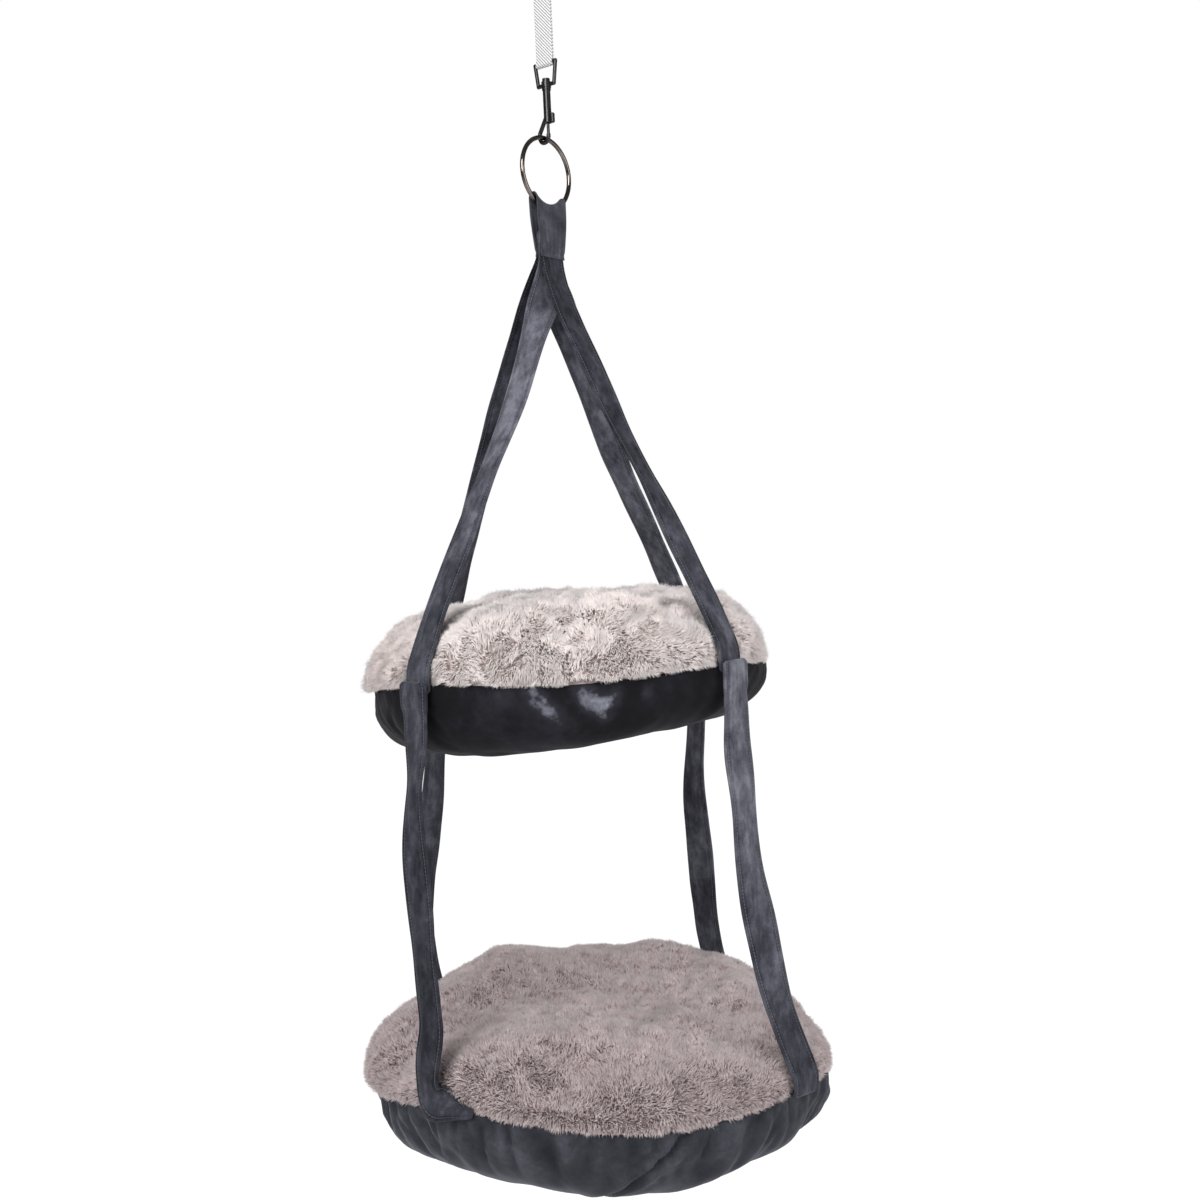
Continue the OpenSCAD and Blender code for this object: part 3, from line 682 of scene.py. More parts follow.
def webbing_route():
    """The middle of the band in its own plane: sideways and up, once round both loops."""
    big, small = LOOP_R + WEB_T / 2, BAR_R + BAR_GAP + WEB_T / 2
    top_turn = np.radians(np.linspace(-45, 225, 60))
    low_turn = np.radians(np.linspace(205, 335, 30))
    legs = WEB_T * 0.52
    throat = -big * 1.75
    loop = np.stack([big * np.cos(top_turn), big * np.sin(top_turn)], 1)
    way = np.linspace(0, 1, 24)
    left_in = loop[-1] + (np.array([-legs, throat]) - loop[-1]) * np.stack([eased(way), way], 1)[1:-1]
    left = np.stack([np.full(40, -legs), np.linspace(throat, BAR_LEVEL + small * 1.6, 40)], 1)
    bar = np.stack([small * np.cos(low_turn), BAR_LEVEL + small * np.sin(low_turn)], 1)
    right = left[::-1] * [-1, 1]
    right_in = left_in[::-1] * [-1, 1]
    route = np.concatenate([loop, left_in, left, bar, right, right_in, loop[:1]])
    return evenly(np.pad(route, ((0, 0), (0, 1))), np.ones((len(route), 3)), WEB_ROWS)


web_path, _, web_length = webbing_route()
web_across = np.array([math.cos(EYE_YAW), math.sin(EYE_YAW), 0])
web_out = np.array([-math.sin(EYE_YAW), math.cos(EYE_YAW), 0])


def webbing_shape(u, v):
    at = np.linspace(0, 1, WEB_ROWS)
    side = np.interp(v, at, web_path[:, 0])
    high = np.interp(v, at, web_path[:, 1])
    return (u[:, None] - 0.5) * WEB_W * web_across + side[:, None] * web_out + high[:, None] * UP


webbing = cloth("webbing_strap", WEB_ACROSS, WEB_ROWS - 1, webbing_shape, (WEB_W, web_length), webbing_twill)
banded(webbing, WEB_T, 0.5 * MM)
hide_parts("hanging_strap")
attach(webbing, "strap")
print("webbing length in mm:", round(web_length / MM))

# %% [markdown]
# ## Collar
# A strip of velvet goes up in front of the ring's wire, over it and down behind it, and is sewn flat below
# with the four strap ends between its two layers. Its top follows the curve of the ring, so it dips in the
# middle. Cloth simulation would sag it onto the wire, but its shape is simple and well seen, so sums place
# it.

# %% Velvet collar
COLLAR_HALF, COLLAR_LONG, COLLAR_T = 4.7 * MM, 135 * MM, 1.3 * MM
COLLAR_LEG = 0.38
SLEEVE_GAP, SLEEVE_FLARE = 1.1 * MM, 0.25


def collar_shape(u, v):
    s = (u - 0.5) * COLLAR_W
    wire = RING_LEVEL - np.sqrt(RING_R ** 2 - s ** 2)
    narrow = 1 - 0.2 * eased((np.abs(2 * v - 1) - 0.45) / 0.55)
    r = RING_WIRE / 2 + SLEEVE_GAP + SLEEVE_FLARE * (wire - RING_LEVEL + RING_R)
    turn = np.clip((v - COLLAR_LEG) / (1 - 2 * COLLAR_LEG), 0, 1) * math.pi
    side = -np.cos(turn) * r
    high = wire + np.sin(turn) * r
    leg = np.where(v < 0.5, (COLLAR_LEG - v) / COLLAR_LEG, (v - 1 + COLLAR_LEG) / COLLAR_LEG)
    leg = np.clip(leg, 0, 1)
    swell = eased(leg / 0.55)
    half = r + (COLLAR_HALF - r) * swell - 0.9 * MM * eased((leg - 0.7) / 0.3)
    half = half - 0.8 * MM * eased((leg - 0.86) / 0.05) * (1 - eased((leg - 0.93) / 0.05))
    side = np.where(leg > 0, np.sign(v - 0.5) * half, side)
    high = np.where(leg > 0, wire + (COLLAR_LEVEL - wire) * leg, high)
    crease = 0.5 * MM * np.sin(s / MM * 0.9 + 2 * np.sign(v - 0.5)) * eased(leg * 1.5)
    tuck = 0.35 * MM * np.sin(s / MM * 2.6) * eased((leg - 0.75) / 0.25)
    side = side + np.sign(v - 0.5) * (crease + tuck)
    points = RING_AXIS + (narrow * s)[:, None] * ALONG + side[:, None] * OUT
    points[:, 2] = high
    return points


collar = cloth("velvet_collar", 44, 96, collar_shape, (COLLAR_W, COLLAR_LONG), collar_velvet)
banded(collar, COLLAR_T, 0.45 * MM)
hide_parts("ring_collar")
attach(collar, "sling")
print("collar in mm:", [round(c / MM) for c in collar.dimensions])

# %% [markdown]
# ## Strap routes
# A strap's route is the line of its middle, with the direction of its width at each point. The upper straps
# start between the collar's layers and end on the upper rim, the lower ones go from there to the lower rim.
# The routes repeat those of the solids and add what slack cloth does: one foot is shifted along the seam
# and curls over, another turns to the front.

# %% Upper strap routes
SEWN_UP, UPPER_FOOT, PRESSED_T = 14 * MM, 22 * MM, 1.4 * MM
SEW_ROWS, FOOT_ROWS = 11, 9


def rim_dir(bed, a):
    """The direction along a bed's rim at an angle."""
    return np.array([-math.sin(a + bed.yaw), math.cos(a + bed.yaw), 0.0])


RIM_COS = math.cos(math.pi / 48)
UPPER_STRAP_R = UPPER.radius * RIM_COS + 0.3 * MM + STRAP_T / 2
LOWER_TOP_R = UPPER_STRAP_R + STRAP_T + 1.2 * MM
LOWER_LOW_R = LOWER.radius * RIM_COS + 1.3 * MM + STRAP_T / 2


def upper_route(corner, layer, low_side, high_bow, low_bow, steps=160):
    a = math.radians(CORNERS[corner])
    rim = UPPER.level(np.array(a), UPPER.radius)
    start = RING_AXIS + layer * LAYER * OUT + COLLAR_LEVEL * UP
    finish = UPPER.place(np.array(a), np.array(UPPER_STRAP_R), rim + SEWN_UP)
    fall = np.array([-high_bow, 0, -0.13 * SLING_DROP])
    hang = finish * 0.75 + start * 0.25 - np.array([low_bow, 0, 0])
    t = np.linspace(0, 1, steps)
    curve = bezier(start, start + fall, hang, finish, t)
    sew = start + np.linspace(SEW_DEPTH, 0, SEW_ROWS + 1)[:-1, None] * UP
    foot = finish + np.linspace(0, -UPPER_FOOT, FOOT_ROWS + 1)[1:, None] * UP
    turn = eased((t - 0.02) / 0.36)[:, None]
    sides = unit(ALONG * (1 - turn) + low_side * turn)
    thick = PRESSED_T + (STRAP_T - PRESSED_T) * eased((t - 0.2) / 0.2)
    points = np.concatenate([sew, curve, foot])
    sides = np.concatenate([np.tile(ALONG, (SEW_ROWS, 1)), sides, np.tile(low_side, (FOOT_ROWS, 1))])
    thick = np.concatenate([np.full(SEW_ROWS, PRESSED_T), thick, np.full(FOOT_ROWS, STRAP_T)])
    return points, sides, thick


# %% Lower strap feet
CURLED = "front_left"
CURL_LONG, CURL_DROP, CURL_RUN, CURL_ROLL = 38 * MM, 12 * MM, 10 * MM, math.radians(74)
CURL_IN, CURL_END_IN = 2 * MM, 4 * MM
CURL_ROWS, RUN_ROWS = 15, 7
LOWER_FOOT, FOOT_IN = 18 * MM, 2 * MM


def straight_foot(finish, outward):
    """A sewn end that goes straight down and in, into the seam."""
    down = np.linspace(0, LOWER_FOOT, FOOT_ROWS + 1)[1:, None]
    return finish - down * UP - FOOT_IN * eased((down - 5 * MM) / (13 * MM)) * outward


def curled_foot(finish, along, outward):
    """A slack end that turns along the seam and lies over like a shelf, and the direction of its width."""
    turn = np.linspace(0, math.pi / 2, CURL_ROWS + 1)[1:, None]
    arc = finish + CURL_LONG * (1 - np.cos(turn)) * along - CURL_DROP * np.sin(turn) * UP
    way = np.linspace(0, 1, RUN_ROWS + 1)[1:, None]
    foot = np.concatenate([arc, arc[-1] + CURL_RUN * way * along])
    share = np.concatenate([turn / (math.pi / 2), np.ones_like(way)])
    settle = np.concatenate([np.zeros_like(turn), way])
    foot = foot - (CURL_IN * eased(share) + CURL_END_IN * settle) * outward
    bend = np.concatenate([turn, np.full_like(way, math.pi / 2)])
    roll = CURL_ROLL * eased(share)
    flat = np.cos(bend) * along + np.sin(bend) * UP
    return foot, np.cos(roll) * flat - np.sin(roll) * outward


# %% Lower strap routes
LAP_DOWN, LAP_UP, LAP_ROWS = 8 * MM, 11 * MM, 7


def lower_route(corner, bow, turn_deg, foot_turn, foot_out, foot_shift, slump, steps=170):
    """foot_turn turns the sewn end a little towards the front, foot_out holds it clear of the rim for that,
    foot_shift moves it along the rim, and slump is how far the slack cloth hangs over sideways just above it."""
    a = np.array(math.radians(CORNERS[corner]))
    rim_top, rim_low = UPPER.level(a, UPPER.radius), LOWER.level(a, LOWER.radius)
    start = UPPER.place(a, np.array(LOWER_TOP_R), rim_top - LAP_DOWN)
    along = rim_dir(LOWER, float(a))
    outward = np.cross(along, UP)
    finish = LOWER.place(a, np.array(LOWER_LOW_R + foot_out), rim_low + SEWN_UP) + foot_shift * along
    fall = np.array([0, 0, -0.35 * TIER_DROP])
    hang = finish * 0.45 + start * 0.55 + np.array([bow, 0, 0])
    hang[2] = finish[2] * 0.7 + start[2] * 0.3
    t = np.linspace(0, 1, steps)
    curve = bezier(start, start + fall, hang, finish, t)
    head = start + np.linspace(LAP_UP, 0, LAP_ROWS + 1)[:-1, None] * UP
    top_side, low_side = rim_dir(UPPER, float(a)), rim_dir(LOWER, float(a) + math.radians(foot_turn))
    if corner == CURLED:
        foot, foot_sides = curled_foot(finish, along, outward)
    else:
        foot, foot_sides = straight_foot(finish, outward), np.tile(low_side, (FOOT_ROWS, 1))
    sides = unit(top_side * (1 - t[:, None]) + low_side * t[:, None])
    turn = math.radians(turn_deg) * np.sin(math.pi * t)
    c, s = np.cos(turn), np.sin(turn)
    sides = np.stack([sides[:, 0] * c - sides[:, 1] * s, sides[:, 0] * s + sides[:, 1] * c, sides[:, 2]], 1)
    points = np.concatenate([head, curve, foot])
    sides = np.concatenate([np.tile(top_side, (LAP_ROWS, 1)), sides, foot_sides])
    above = points[:, 2] - points[-1, 2]
    hump = eased((above - 0.02) / 0.06) * eased((0.28 - above) / 0.18)
    points = points - (slump * hump)[:, None] * along
    return points, sides, np.full(len(points), STRAP_T)


# %% [markdown]
# ## Strap sweep
# Each strap is a tube of velvet pressed flat, with a line of stitching near each edge that pinches it. A
# curve with a bevel object would sweep one section along the route. Here the section changes on the way: it
# is pressed thin in the collar, fuller at a folded hem and narrower at a curled end, and the cloth wanders
# and twists where it hangs free. So a grid is bent round the route row by row.

# %% Strap sweep
STRAP_ROWS, STRAP_ROUND, SMOOTH_REACH = 190, 36, 6
STITCH_AT = 0.78
CREASE = 0.9 * MM
FACE_WAVE, SIDE_WAVE, TWIST_WAVE, WIDTH_WAVE, CREASE_WAVE = 190 * MM, 140 * MM, 170 * MM, 60 * MM, 22 * MM
FREE_EASE, CORNER_LONG, END_ROUND, TAPER_LONG = 60 * MM, 5 * MM, 3 * MM, 34 * MM
HEM_LONG, HEM_EASE = 22 * MM, 10 * MM


def smoothed(values, reach):
    """A running mean along a route that leaves both ends where they are."""
    weights = np.hanning(2 * reach + 3)[1:-1]
    weights = weights / weights.sum()
    first = 2 * values[0] - values[reach:0:-1]
    last = 2 * values[-1] - values[-2:-reach - 2:-1]
    padded = np.concatenate([first, values, last])
    return np.stack([np.convolve(padded[:, k], weights, "valid") for k in range(3)], 1)


def strap(name, route, seed, wave, twist, ends, finish, hem=0.0, taper=0.0):
    """A flattened tube along a route. wave is how far the slack cloth wanders in millimetres, twist how far it
    turns in degrees, ends how many millimetres at the start and finish stay straight because they are sewn, hem
    how much fuller the start is where the end is folded under, and taper how much narrower the finish is."""
    points, sides, thick = route
    steps = np.linalg.norm(np.diff(points, axis=0), axis=1)
    run = np.concatenate([[0], np.cumsum(steps)])
    middle, side, length = evenly(points, sides, STRAP_ROWS)
    middle, side = smoothed(middle, SMOOTH_REACH), unit(smoothed(side, SMOOTH_REACH))
    at = np.linspace(0, length, STRAP_ROWS)
    half_t = np.interp(at, run, thick) / 2
    free = eased((at - ends[0] * MM) / FREE_EASE) * eased((length - ends[1] * MM - at) / FREE_EASE)
    tangent = unit(np.gradient(middle, axis=0))
    side = unit(side - (side * tangent).sum(1)[:, None] * tangent)
    face = np.cross(tangent, side)
    line = np.stack([0 * at, 0 * at, at], 1)
    middle = middle + (wave * MM * free * ripple(line, FACE_WAVE, seed))[:, None] * face
    middle = middle + (0.5 * wave * MM * free * ripple(line, SIDE_WAVE, seed + 1))[:, None] * side
    roll = math.radians(twist) * free * ripple(line, TWIST_WAVE, seed + 2)
    c, s = np.cos(roll)[:, None], np.sin(roll)[:, None]
    side, face = side * c + face * s, face * c - side * s
    width = STRAP_W / 2 * (1 + 0.02 * ripple(line, WIDTH_WAVE, seed + 4))
    to_end = np.minimum(at, length - at)
    corner = 1 - (1 - np.clip(to_end / CORNER_LONG, 0, 1)) ** 2.4
    width = width * (0.8 + 0.2 * corner)
    full = hem * (1 - eased((at - HEM_LONG) / HEM_EASE))
    outward = unit((middle - [UPPER.x, UPPER.y, 0]) * [1, 1, 0])
    middle = middle + (full * half_t)[:, None] * outward
    half_t = half_t * (1 + full)
    width = width * (1 + 0.2 * full) * (1 - taper * eased(1 - (length - at) / TAPER_LONG))
    half_t = half_t * np.sqrt(np.clip(1 - (1 - np.clip(to_end / END_ROUND, 0, 1)) ** 2, 0.03, 1))

    def shape(u, v):
        k = np.clip(np.round(v * (STRAP_ROWS - 1)).astype(int), 0, STRAP_ROWS - 1)
        turn = 2 * math.pi * u
        cross = np.sign(np.cos(turn)) * np.abs(np.cos(turn)) ** 0.72
        up = np.sign(np.sin(turn)) * np.abs(np.sin(turn)) ** 0.5
        pinch = 1 - 0.55 * np.exp(-((np.abs(cross) - STITCH_AT) / 0.09) ** 2)
        plump = 1 + 0.12 * np.cos(cross * math.pi / 2)
        puff = half_t[k] * up * pinch * plump
        spot = np.stack([cross * STRAP_W / 2 * 2.2, up * 0.002, at[k] * 0.2], 1)
        calm = free[k] * np.exp(-(cross / 0.75) ** 4) * np.abs(up)
        crease = CREASE * calm * ripple(spot, CREASE_WAVE, seed + 3)
        return middle[k] + (cross * width[k])[:, None] * side[k] + (puff + crease)[:, None] * face[k]

    made = cloth(name, STRAP_ROUND, STRAP_ROWS - 1, shape, (2 * STRAP_W, length), finish, closed=True)
    return made, middle, length


# %% Upper straps
# For each corner: layer in the collar, direction of the low end, bows to the left above and below
UPPER_PLAN = {
    "front_left": (0.5, -rim_dir(UPPER, math.radians(45)), 0, 0),
    "front_right": (1.5, rim_dir(UPPER, math.radians(315)), 0, 0),
    "back_right": (-0.5, -rim_dir(UPPER, math.radians(45)), 1.6 * MM, 8 * MM),
    "back_left": (-1.5, rim_dir(UPPER, math.radians(315)), 34 * MM, 0),
}
strap_lines = {"upper": [], "lower": []}
for number, (corner, plan) in enumerate(UPPER_PLAN.items()):
    name = "sling_strap_" + corner
    made, middle, length = strap(name, upper_route(corner, *plan), 11 + number * 10, 1.2, 4, (60, 30),
                                 STRAP_VELVETS[name])
    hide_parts("upper_strap_" + corner)
    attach(made, "sling")
    strap_lines["upper"].append(middle)
    print(corner, "upper strap length in mm:", round(length / MM))

# %% Lower straps
# For each corner: bow, turn, the foot's turn, how far out and along the rim the foot stands, and slump
LOWER_PLAN = {"front_left": (-9 * MM, 0, -14, 3 * MM, -24 * MM, -17 * MM),
              "front_right": (-18 * MM, -18, -16, 3 * MM, -5 * MM, 0),
              "back_right": (-20 * MM, 0, 0, 0, 0, 0), "back_left": (-40 * MM, 0, 0, 0, 0, 0)}
# How far the slack cloth wanders, in mm, and twists, in degrees
SLACK = {"front_left": (4, 7), "front_right": (2, 6), "back_right": (2, 6), "back_left": (3, 10)}
SHORT = {"front_left": "fl", "front_right": "fr", "back_right": "br", "back_left": "bl"}
CURL_FULL, CURL_HOLD, CURL_TAPER = 16 * MM, 45 * MM, 0.6
for number, (corner, plan) in enumerate(LOWER_PLAN.items()):
    name, body = "tier_strap_" + corner, "lower_strap_" + SHORT[corner]
    slack, twist = SLACK[corner]
    made, middle, length = strap(name, lower_route(corner, *plan), 71 + number * 10, slack, twist, (45, 34),
                                 STRAP_VELVETS[name], hem=0.45, taper=CURL_TAPER if corner == CURLED else 0)
    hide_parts("lower_strap_" + corner)
    if corner == CURLED:
        sewn = middle[-1] + CURL_FULL * UP
        tuple(sewn + CURL_HOLD * UP)
        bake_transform(made)
    else:
        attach(made, body)
    strap_lines["lower"].append(middle)
    print(corner, "lower strap length in mm:", round(length / MM))

# %% [markdown]
# ## Velvet bases
# Under each rim hangs a bowl of velvet, stuffed from above. The panel is cut larger than the rim and
# gathered into the seam, so it has many short folds that die out a few centimetres down. A few long folds,
# where the cloth is pulled, are few enough to be listed one by one, as valleys along slanting lines with a
# ridge on either side.

# %% Bowl and long folds
FLANGE, TURNED_IN, TURNED_DOWN = 0.05, 26 * MM, 10 * MM
SHOULDER, SHOULDER_AT, SHOULDER_WIDE = 0.55, 1.9, 1.2


def bowl_at(bed, u, v):
    """Points of the bowl, the way out at each, and its angle and depth. The first rows are turned in under the
    plush."""
    a, t = 2 * math.pi * u, math.pi / 2 * np.clip((v - FLANGE) / (1 - FLANGE), 0, 1) ** 1.15
    spot = bed.base(a, t, 0)
    turning = np.clip(1 - v / FLANGE, 0, 1)
    spot -= (turning * TURNED_IN)[:, None] * (bed.place(a, 1 + 0 * a, 0 * a) - bed.place(a, 0 * a, 0 * a))
    spot[:, 2] -= turning * TURNED_DOWN
    outward = bed.place(a, bed.radius * np.maximum(np.cos(t), 0) ** 0.8, 0 * a) - bed.place(a, 0 * a, 0 * a)
    outward[:, 2] = -bed.depth * np.sin(t)
    return spot, unit(outward), a, t


def folds(bed, a, t, plan):
    """How far the cloth sinks in at an angle and depth, in metres. Each fold of the plan has the angle where it
    starts in degrees, its width, its depth, how far down it reaches and how much it slants."""
    sink = np.zeros_like(a)
    down = t / (math.pi / 2)
    for centre, width, deep, reach, slant in plan:
        off = np.mod(a - math.radians(centre) - math.radians(slant) * down + math.pi, 2 * math.pi) - math.pi
        off = off * bed.radius
        fade = eased(1 - down / reach)
        valley = np.exp(-(off / width) ** 2)
        wide = SHOULDER_WIDE * width
        ridges = [np.exp(-((off - side * SHOULDER_AT * width) / wide) ** 2) for side in (1, -1)]
        sink += deep * fade * (valley - SHOULDER * sum(ridges))
    return sink


def gathers(seed, count, deep, wide, reach):
    """Many small folds round the rim, where the panel is sewn in."""
    rng = np.random.default_rng(seed)
    turn = np.linspace(0, 360, count, endpoint=False) + rng.uniform(-2.4, 2.4, count)
    return [(turn[k], wide * MM * rng.uniform(0.6, 1.5), deep * MM * rng.uniform(0.2, 1.3),
             reach * rng.uniform(0.5, 1.4), rng.uniform(-9, 9)) for k in range(count)]


LONG_FOLDS = {
    "upper": [(262, 16 * MM, 3 * MM, 0.55, 14), (284, 20 * MM, 4 * MM, 0.6, -16),
              (306, 10 * MM, 2 * MM, 0.5, -8)],
    "lower": [(279, 6 * MM, 5.5 * MM, 0.8, -40), (246, 9 * MM, 3 * MM, 0.7, 12),
              (298, 8 * MM, 4 * MM, 0.7, -14)] + gathers(9, 62, 2.8, 4.2, 0.45),
}

# %% [markdown]
# ## Gathers
# Cloth simulation makes the short folds best: a bowl of slack cloth is held at the seam and blown out from
# inside, as the filling does, and it buckles by itself. Only the buckles are kept, without the general
# swelling, because the depth of the bowl is known from the picture. A Fourier sum round the rim tells the
# two apart: the swelling is in its first few waves.

# %% Gathers by cloth simulation
SIM_ACROSS, SIM_ALONG, SIM_FRAMES = 360, 40, 24
SWELLING_WAVES = 7
DEEPEST, HIGHEST = -8 * MM, 7 * MM


def gathered(bed, slack):
    """How far the bowl's cloth buckles out and in, on a grid of depth and angle. slack is how much larger than
    the bowl the cloth is cut."""

    def start(u, v):
        spot, outward, _, _ = bowl_at(bed, u, v)
        return spot + 0.6 * MM * ripple(spot, 0.016, 41)[:, None] * outward

    loose = cloth("loose_bowl", SIM_ACROSS, SIM_ALONG, start, (1, 1), lower_velvet)
    corner = np.zeros(len(loose.data.loops), dtype=np.int32)
    loose.data.loops.foreach_get("vertex_index", corner)
    chart = np.zeros(2 * len(corner), dtype=np.float32)
    loose.data.uv_layers["cut"].data.foreach_get("uv", chart)
    chart = chart.reshape(-1, 2)
    column = np.round(chart[:, 0] * SIM_ACROSS).astype(int) % SIM_ACROSS
    row = np.round(chart[:, 1] * SIM_ALONG).astype(int)
    seam = loose.vertex_groups.new(name="seam")
    seam.add([int(k) for k in np.unique(corner[row <= FLANGE * SIM_ALONG])], 1.0, "ADD")
    modifier = loose.modifiers.new("slack_cloth", "CLOTH")
    rules = modifier.settings
    rules.quality, rules.mass = 6, 0.2
    rules.tension_stiffness, rules.compression_stiffness = 20, 20
    rules.shear_stiffness, rules.bending_stiffness = 8, 0.25
    rules.use_pressure, rules.uniform_pressure_force = True, 3
    rules.vertex_group_mass = "seam"
    rules.shrink_min = -slack
    rules.effector_weights.gravity = 0
    modifier.collision_settings.use_collision = False
    modifier.point_cache.frame_end = SIM_FRAMES
    for number in range(1, SIM_FRAMES + 1):
        scene.frame_set(number)
    before = np.array([v.co for v in loose.data.vertices])
    settled = loose.evaluated_get(bpy.context.evaluated_depsgraph_get())
    after = np.array([v.co for v in settled.data.vertices])
    grid = np.zeros((SIM_ALONG + 1, SIM_ACROSS, 3))
    grid[row, column] = (after - before)[corner]
    u, v = np.meshgrid(np.arange(SIM_ACROSS) / SIM_ACROSS, np.arange(SIM_ALONG + 1) / SIM_ALONG)
    outward = bowl_at(bed, u.ravel(), v.ravel())[1].reshape(grid.shape)
    waves = np.fft.rfft((grid * outward).sum(2), axis=1)
    waves[:, :SWELLING_WAVES] = 0
    scene.frame_set(1)
    bpy.data.objects.remove(loose)
    buckles = np.fft.irfft(waves, SIM_ACROSS, axis=1)
    print(bed.name, "buckles in mm:", (buckles.min() / MM).round(1), "to", (buckles.max() / MM).round(1))
    return np.clip(buckles, DEEPEST, HIGHEST)


def sampled(grid, u, v):
    """The grid's value between its points, closed in the first direction."""
    rows, columns = grid.shape
    x, y = np.mod(u, 1) * columns, np.clip(v, 0, 1) * (rows - 1)
    i, j = np.floor(x).astype(int), np.minimum(np.floor(y).astype(int), rows - 2)
    p, q = x - i, y - j
    i, k = i % columns, (i + 1) % columns
    low = grid[j, i] * (1 - p) + grid[j, k] * p
    high = grid[j + 1, i] * (1 - p) + grid[j + 1, k] * p
    return low * (1 - q) + high * q


# %% Velvet bowls
SLACK_CUT = {"upper": 0.012, "lower": 0.045}
BOWL_ROUND, BOWL_ROWS, BOWL_WALL, BOWL_IN = 400, 50, 2.0 * MM, 1.5 * MM
FOLD_HEIGHT = 6 * MM
SEAM_CALM = math.radians(3)


def base_relief(bed, buckles):
    """Height of the bowl's folds, out from the plain bowl."""
    def height(u, v):
        _, _, a, t = bowl_at(bed, u, v)
        fade = 1 - 0.8 * eased((v - 0.15) / 0.4)
        return fade * sampled(buckles, u, v) - folds(bed, a, t, LONG_FOLDS[bed.name]) * eased(t / SEAM_CALM)
    return height


def base_shape(bed, height):
    """The bowl with its folds, a slow unevenness of the filling and a finer one of the cloth."""
    def shape(u, v):
        spot, outward, _, t = bowl_at(bed, u, v)
        move = height(u, v) + 1.8 * MM * ripple(spot, 0.11, 31) * eased(t / math.radians(20))
        move += 0.4 * MM * ripple(spot, 0.035, 32) * eased(t / SEAM_CALM)
        return spot + (move - BOWL_IN)[:, None] * outward
    return shape


for name, (bed, body) in BEDS.items():
    finish = upper_velvet if name == "upper" else lower_velvet
    height = base_relief(bed, gathered(bed, SLACK_CUT[name]))
    # The folds' height also goes into a map for the painted shade and sheen on the folds
    bowl = cloth(name + "_velvet_base", BOWL_ROUND, BOWL_ROWS, base_shape(bed, height),
                 (2 * math.pi * bed.radius, bed.radius), finish, wall=BOWL_WALL,
                 relief=lambda u, v, height=height: height(u, v) / FOLD_HEIGHT)
    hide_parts(name + "_base")
    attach(bowl, body)
    print(name, "base faces:", len(bowl.data.polygons))

# %% [markdown]
# ## Plush cushions
# The top panel is a knitted ground with long pile. The ground is a crowned shape, closed underneath, and it
# stands for the filling as well. Simulation could fill a bag, but the swells have to agree with the solids,
# so sums move the points of a grid: slow lumps over the crown, and at the rim the places where the plush
# spills over the seam.

# %% Plush grounds
GROUND_INSET, GROUND_DEPTH, CROWN_SHARE = 12 * MM, 20 * MM, 0.7
GROUND_ROUND, GROUND_ROWS = 180, 60
LUMP, LUMP_WAVE, TUCK = 1.8 * MM, 60 * MM, 2.5 * MM
# Where the plush spills over the seam or draws back from it: direction and width in degrees, out and up in mm
SPILLS = {"upper": ((2, 26, -9, 0), (180, 22, 4, 3)), "lower": ((186, 20, 10, 12), (20, 18, -4, 4))}


def plush_surface(bed, a, t, inset):
    """The cushion's top with the soft lumps that the filling gives it, drawn in where it meets the seam."""
    spot = bed.plush(a, t, inset)
    inner = eased(t / math.radians(25))
    lumps = ripple(spot.reshape(-1, 3) * [1, 1, 0], LUMP_WAVE, 52).reshape(a.shape)
    spot[..., 2] += LUMP * inner * lumps
    out = -TUCK * np.exp(-(t / math.radians(7)) ** 2)
    for centre, wide, outward, upward in SPILLS[bed.name]:
        off = np.mod(a + bed.yaw - math.radians(centre) + math.pi, 2 * math.pi) - math.pi
        spill = np.exp(-(off / math.radians(wide)) ** 2) * np.exp(-(t / math.radians(42)) ** 2)
        out = out + outward * MM * spill
        spot[..., 2] += upward * MM * spill * np.sin(2 * t)
    spot[..., 0] += out * np.cos(a + bed.yaw)
    spot[..., 1] += out * np.sin(a + bed.yaw)
    return spot


def ground_shape(bed):
    """A closed shape, from the crown's middle out to the rim and back underneath."""
    def shape(u, v):
        a = 2 * math.pi * u
        crown = v < CROWN_SHARE
        t = math.pi / 2 * np.where(crown, 1 - v / CROWN_SHARE, (v - CROWN_SHARE) / (1 - CROWN_SHARE))
        spot = plush_surface(bed, a, t, GROUND_INSET)
        r = np.linalg.norm(spot[:, :2] - [bed.x, bed.y], axis=1)
        under = bed.level(a, r) - GROUND_DEPTH * np.sin(t)
        spot[:, 2] = np.where(crown, spot[:, 2], under)
        return spot
    return shape


for name, (bed, body) in BEDS.items():
    cushion = cloth(name + "_cushion", GROUND_ROUND, GROUND_ROWS, ground_shape(bed),
                    (2 * math.pi * bed.radius, 2 * bed.radius), GROUNDS[name], closed=True)
    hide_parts(name + "_plush", name + "_filling")
    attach(cushion, body)
    name + "_plush"
    print(name, "cushion in mm:", [round(c / MM) for c in cushion.dimensions])

# %% [markdown]
# ## One lock of pile
# Blender's hair could make the pile, but the part has to be a plain mesh. So one lock is modelled: a
# triangle whose edges are drawn out and merged to a point, a closed slim spike. It stands a little above
# its root, inside the pile, and has only four faces because there are hundreds of thousands of copies.

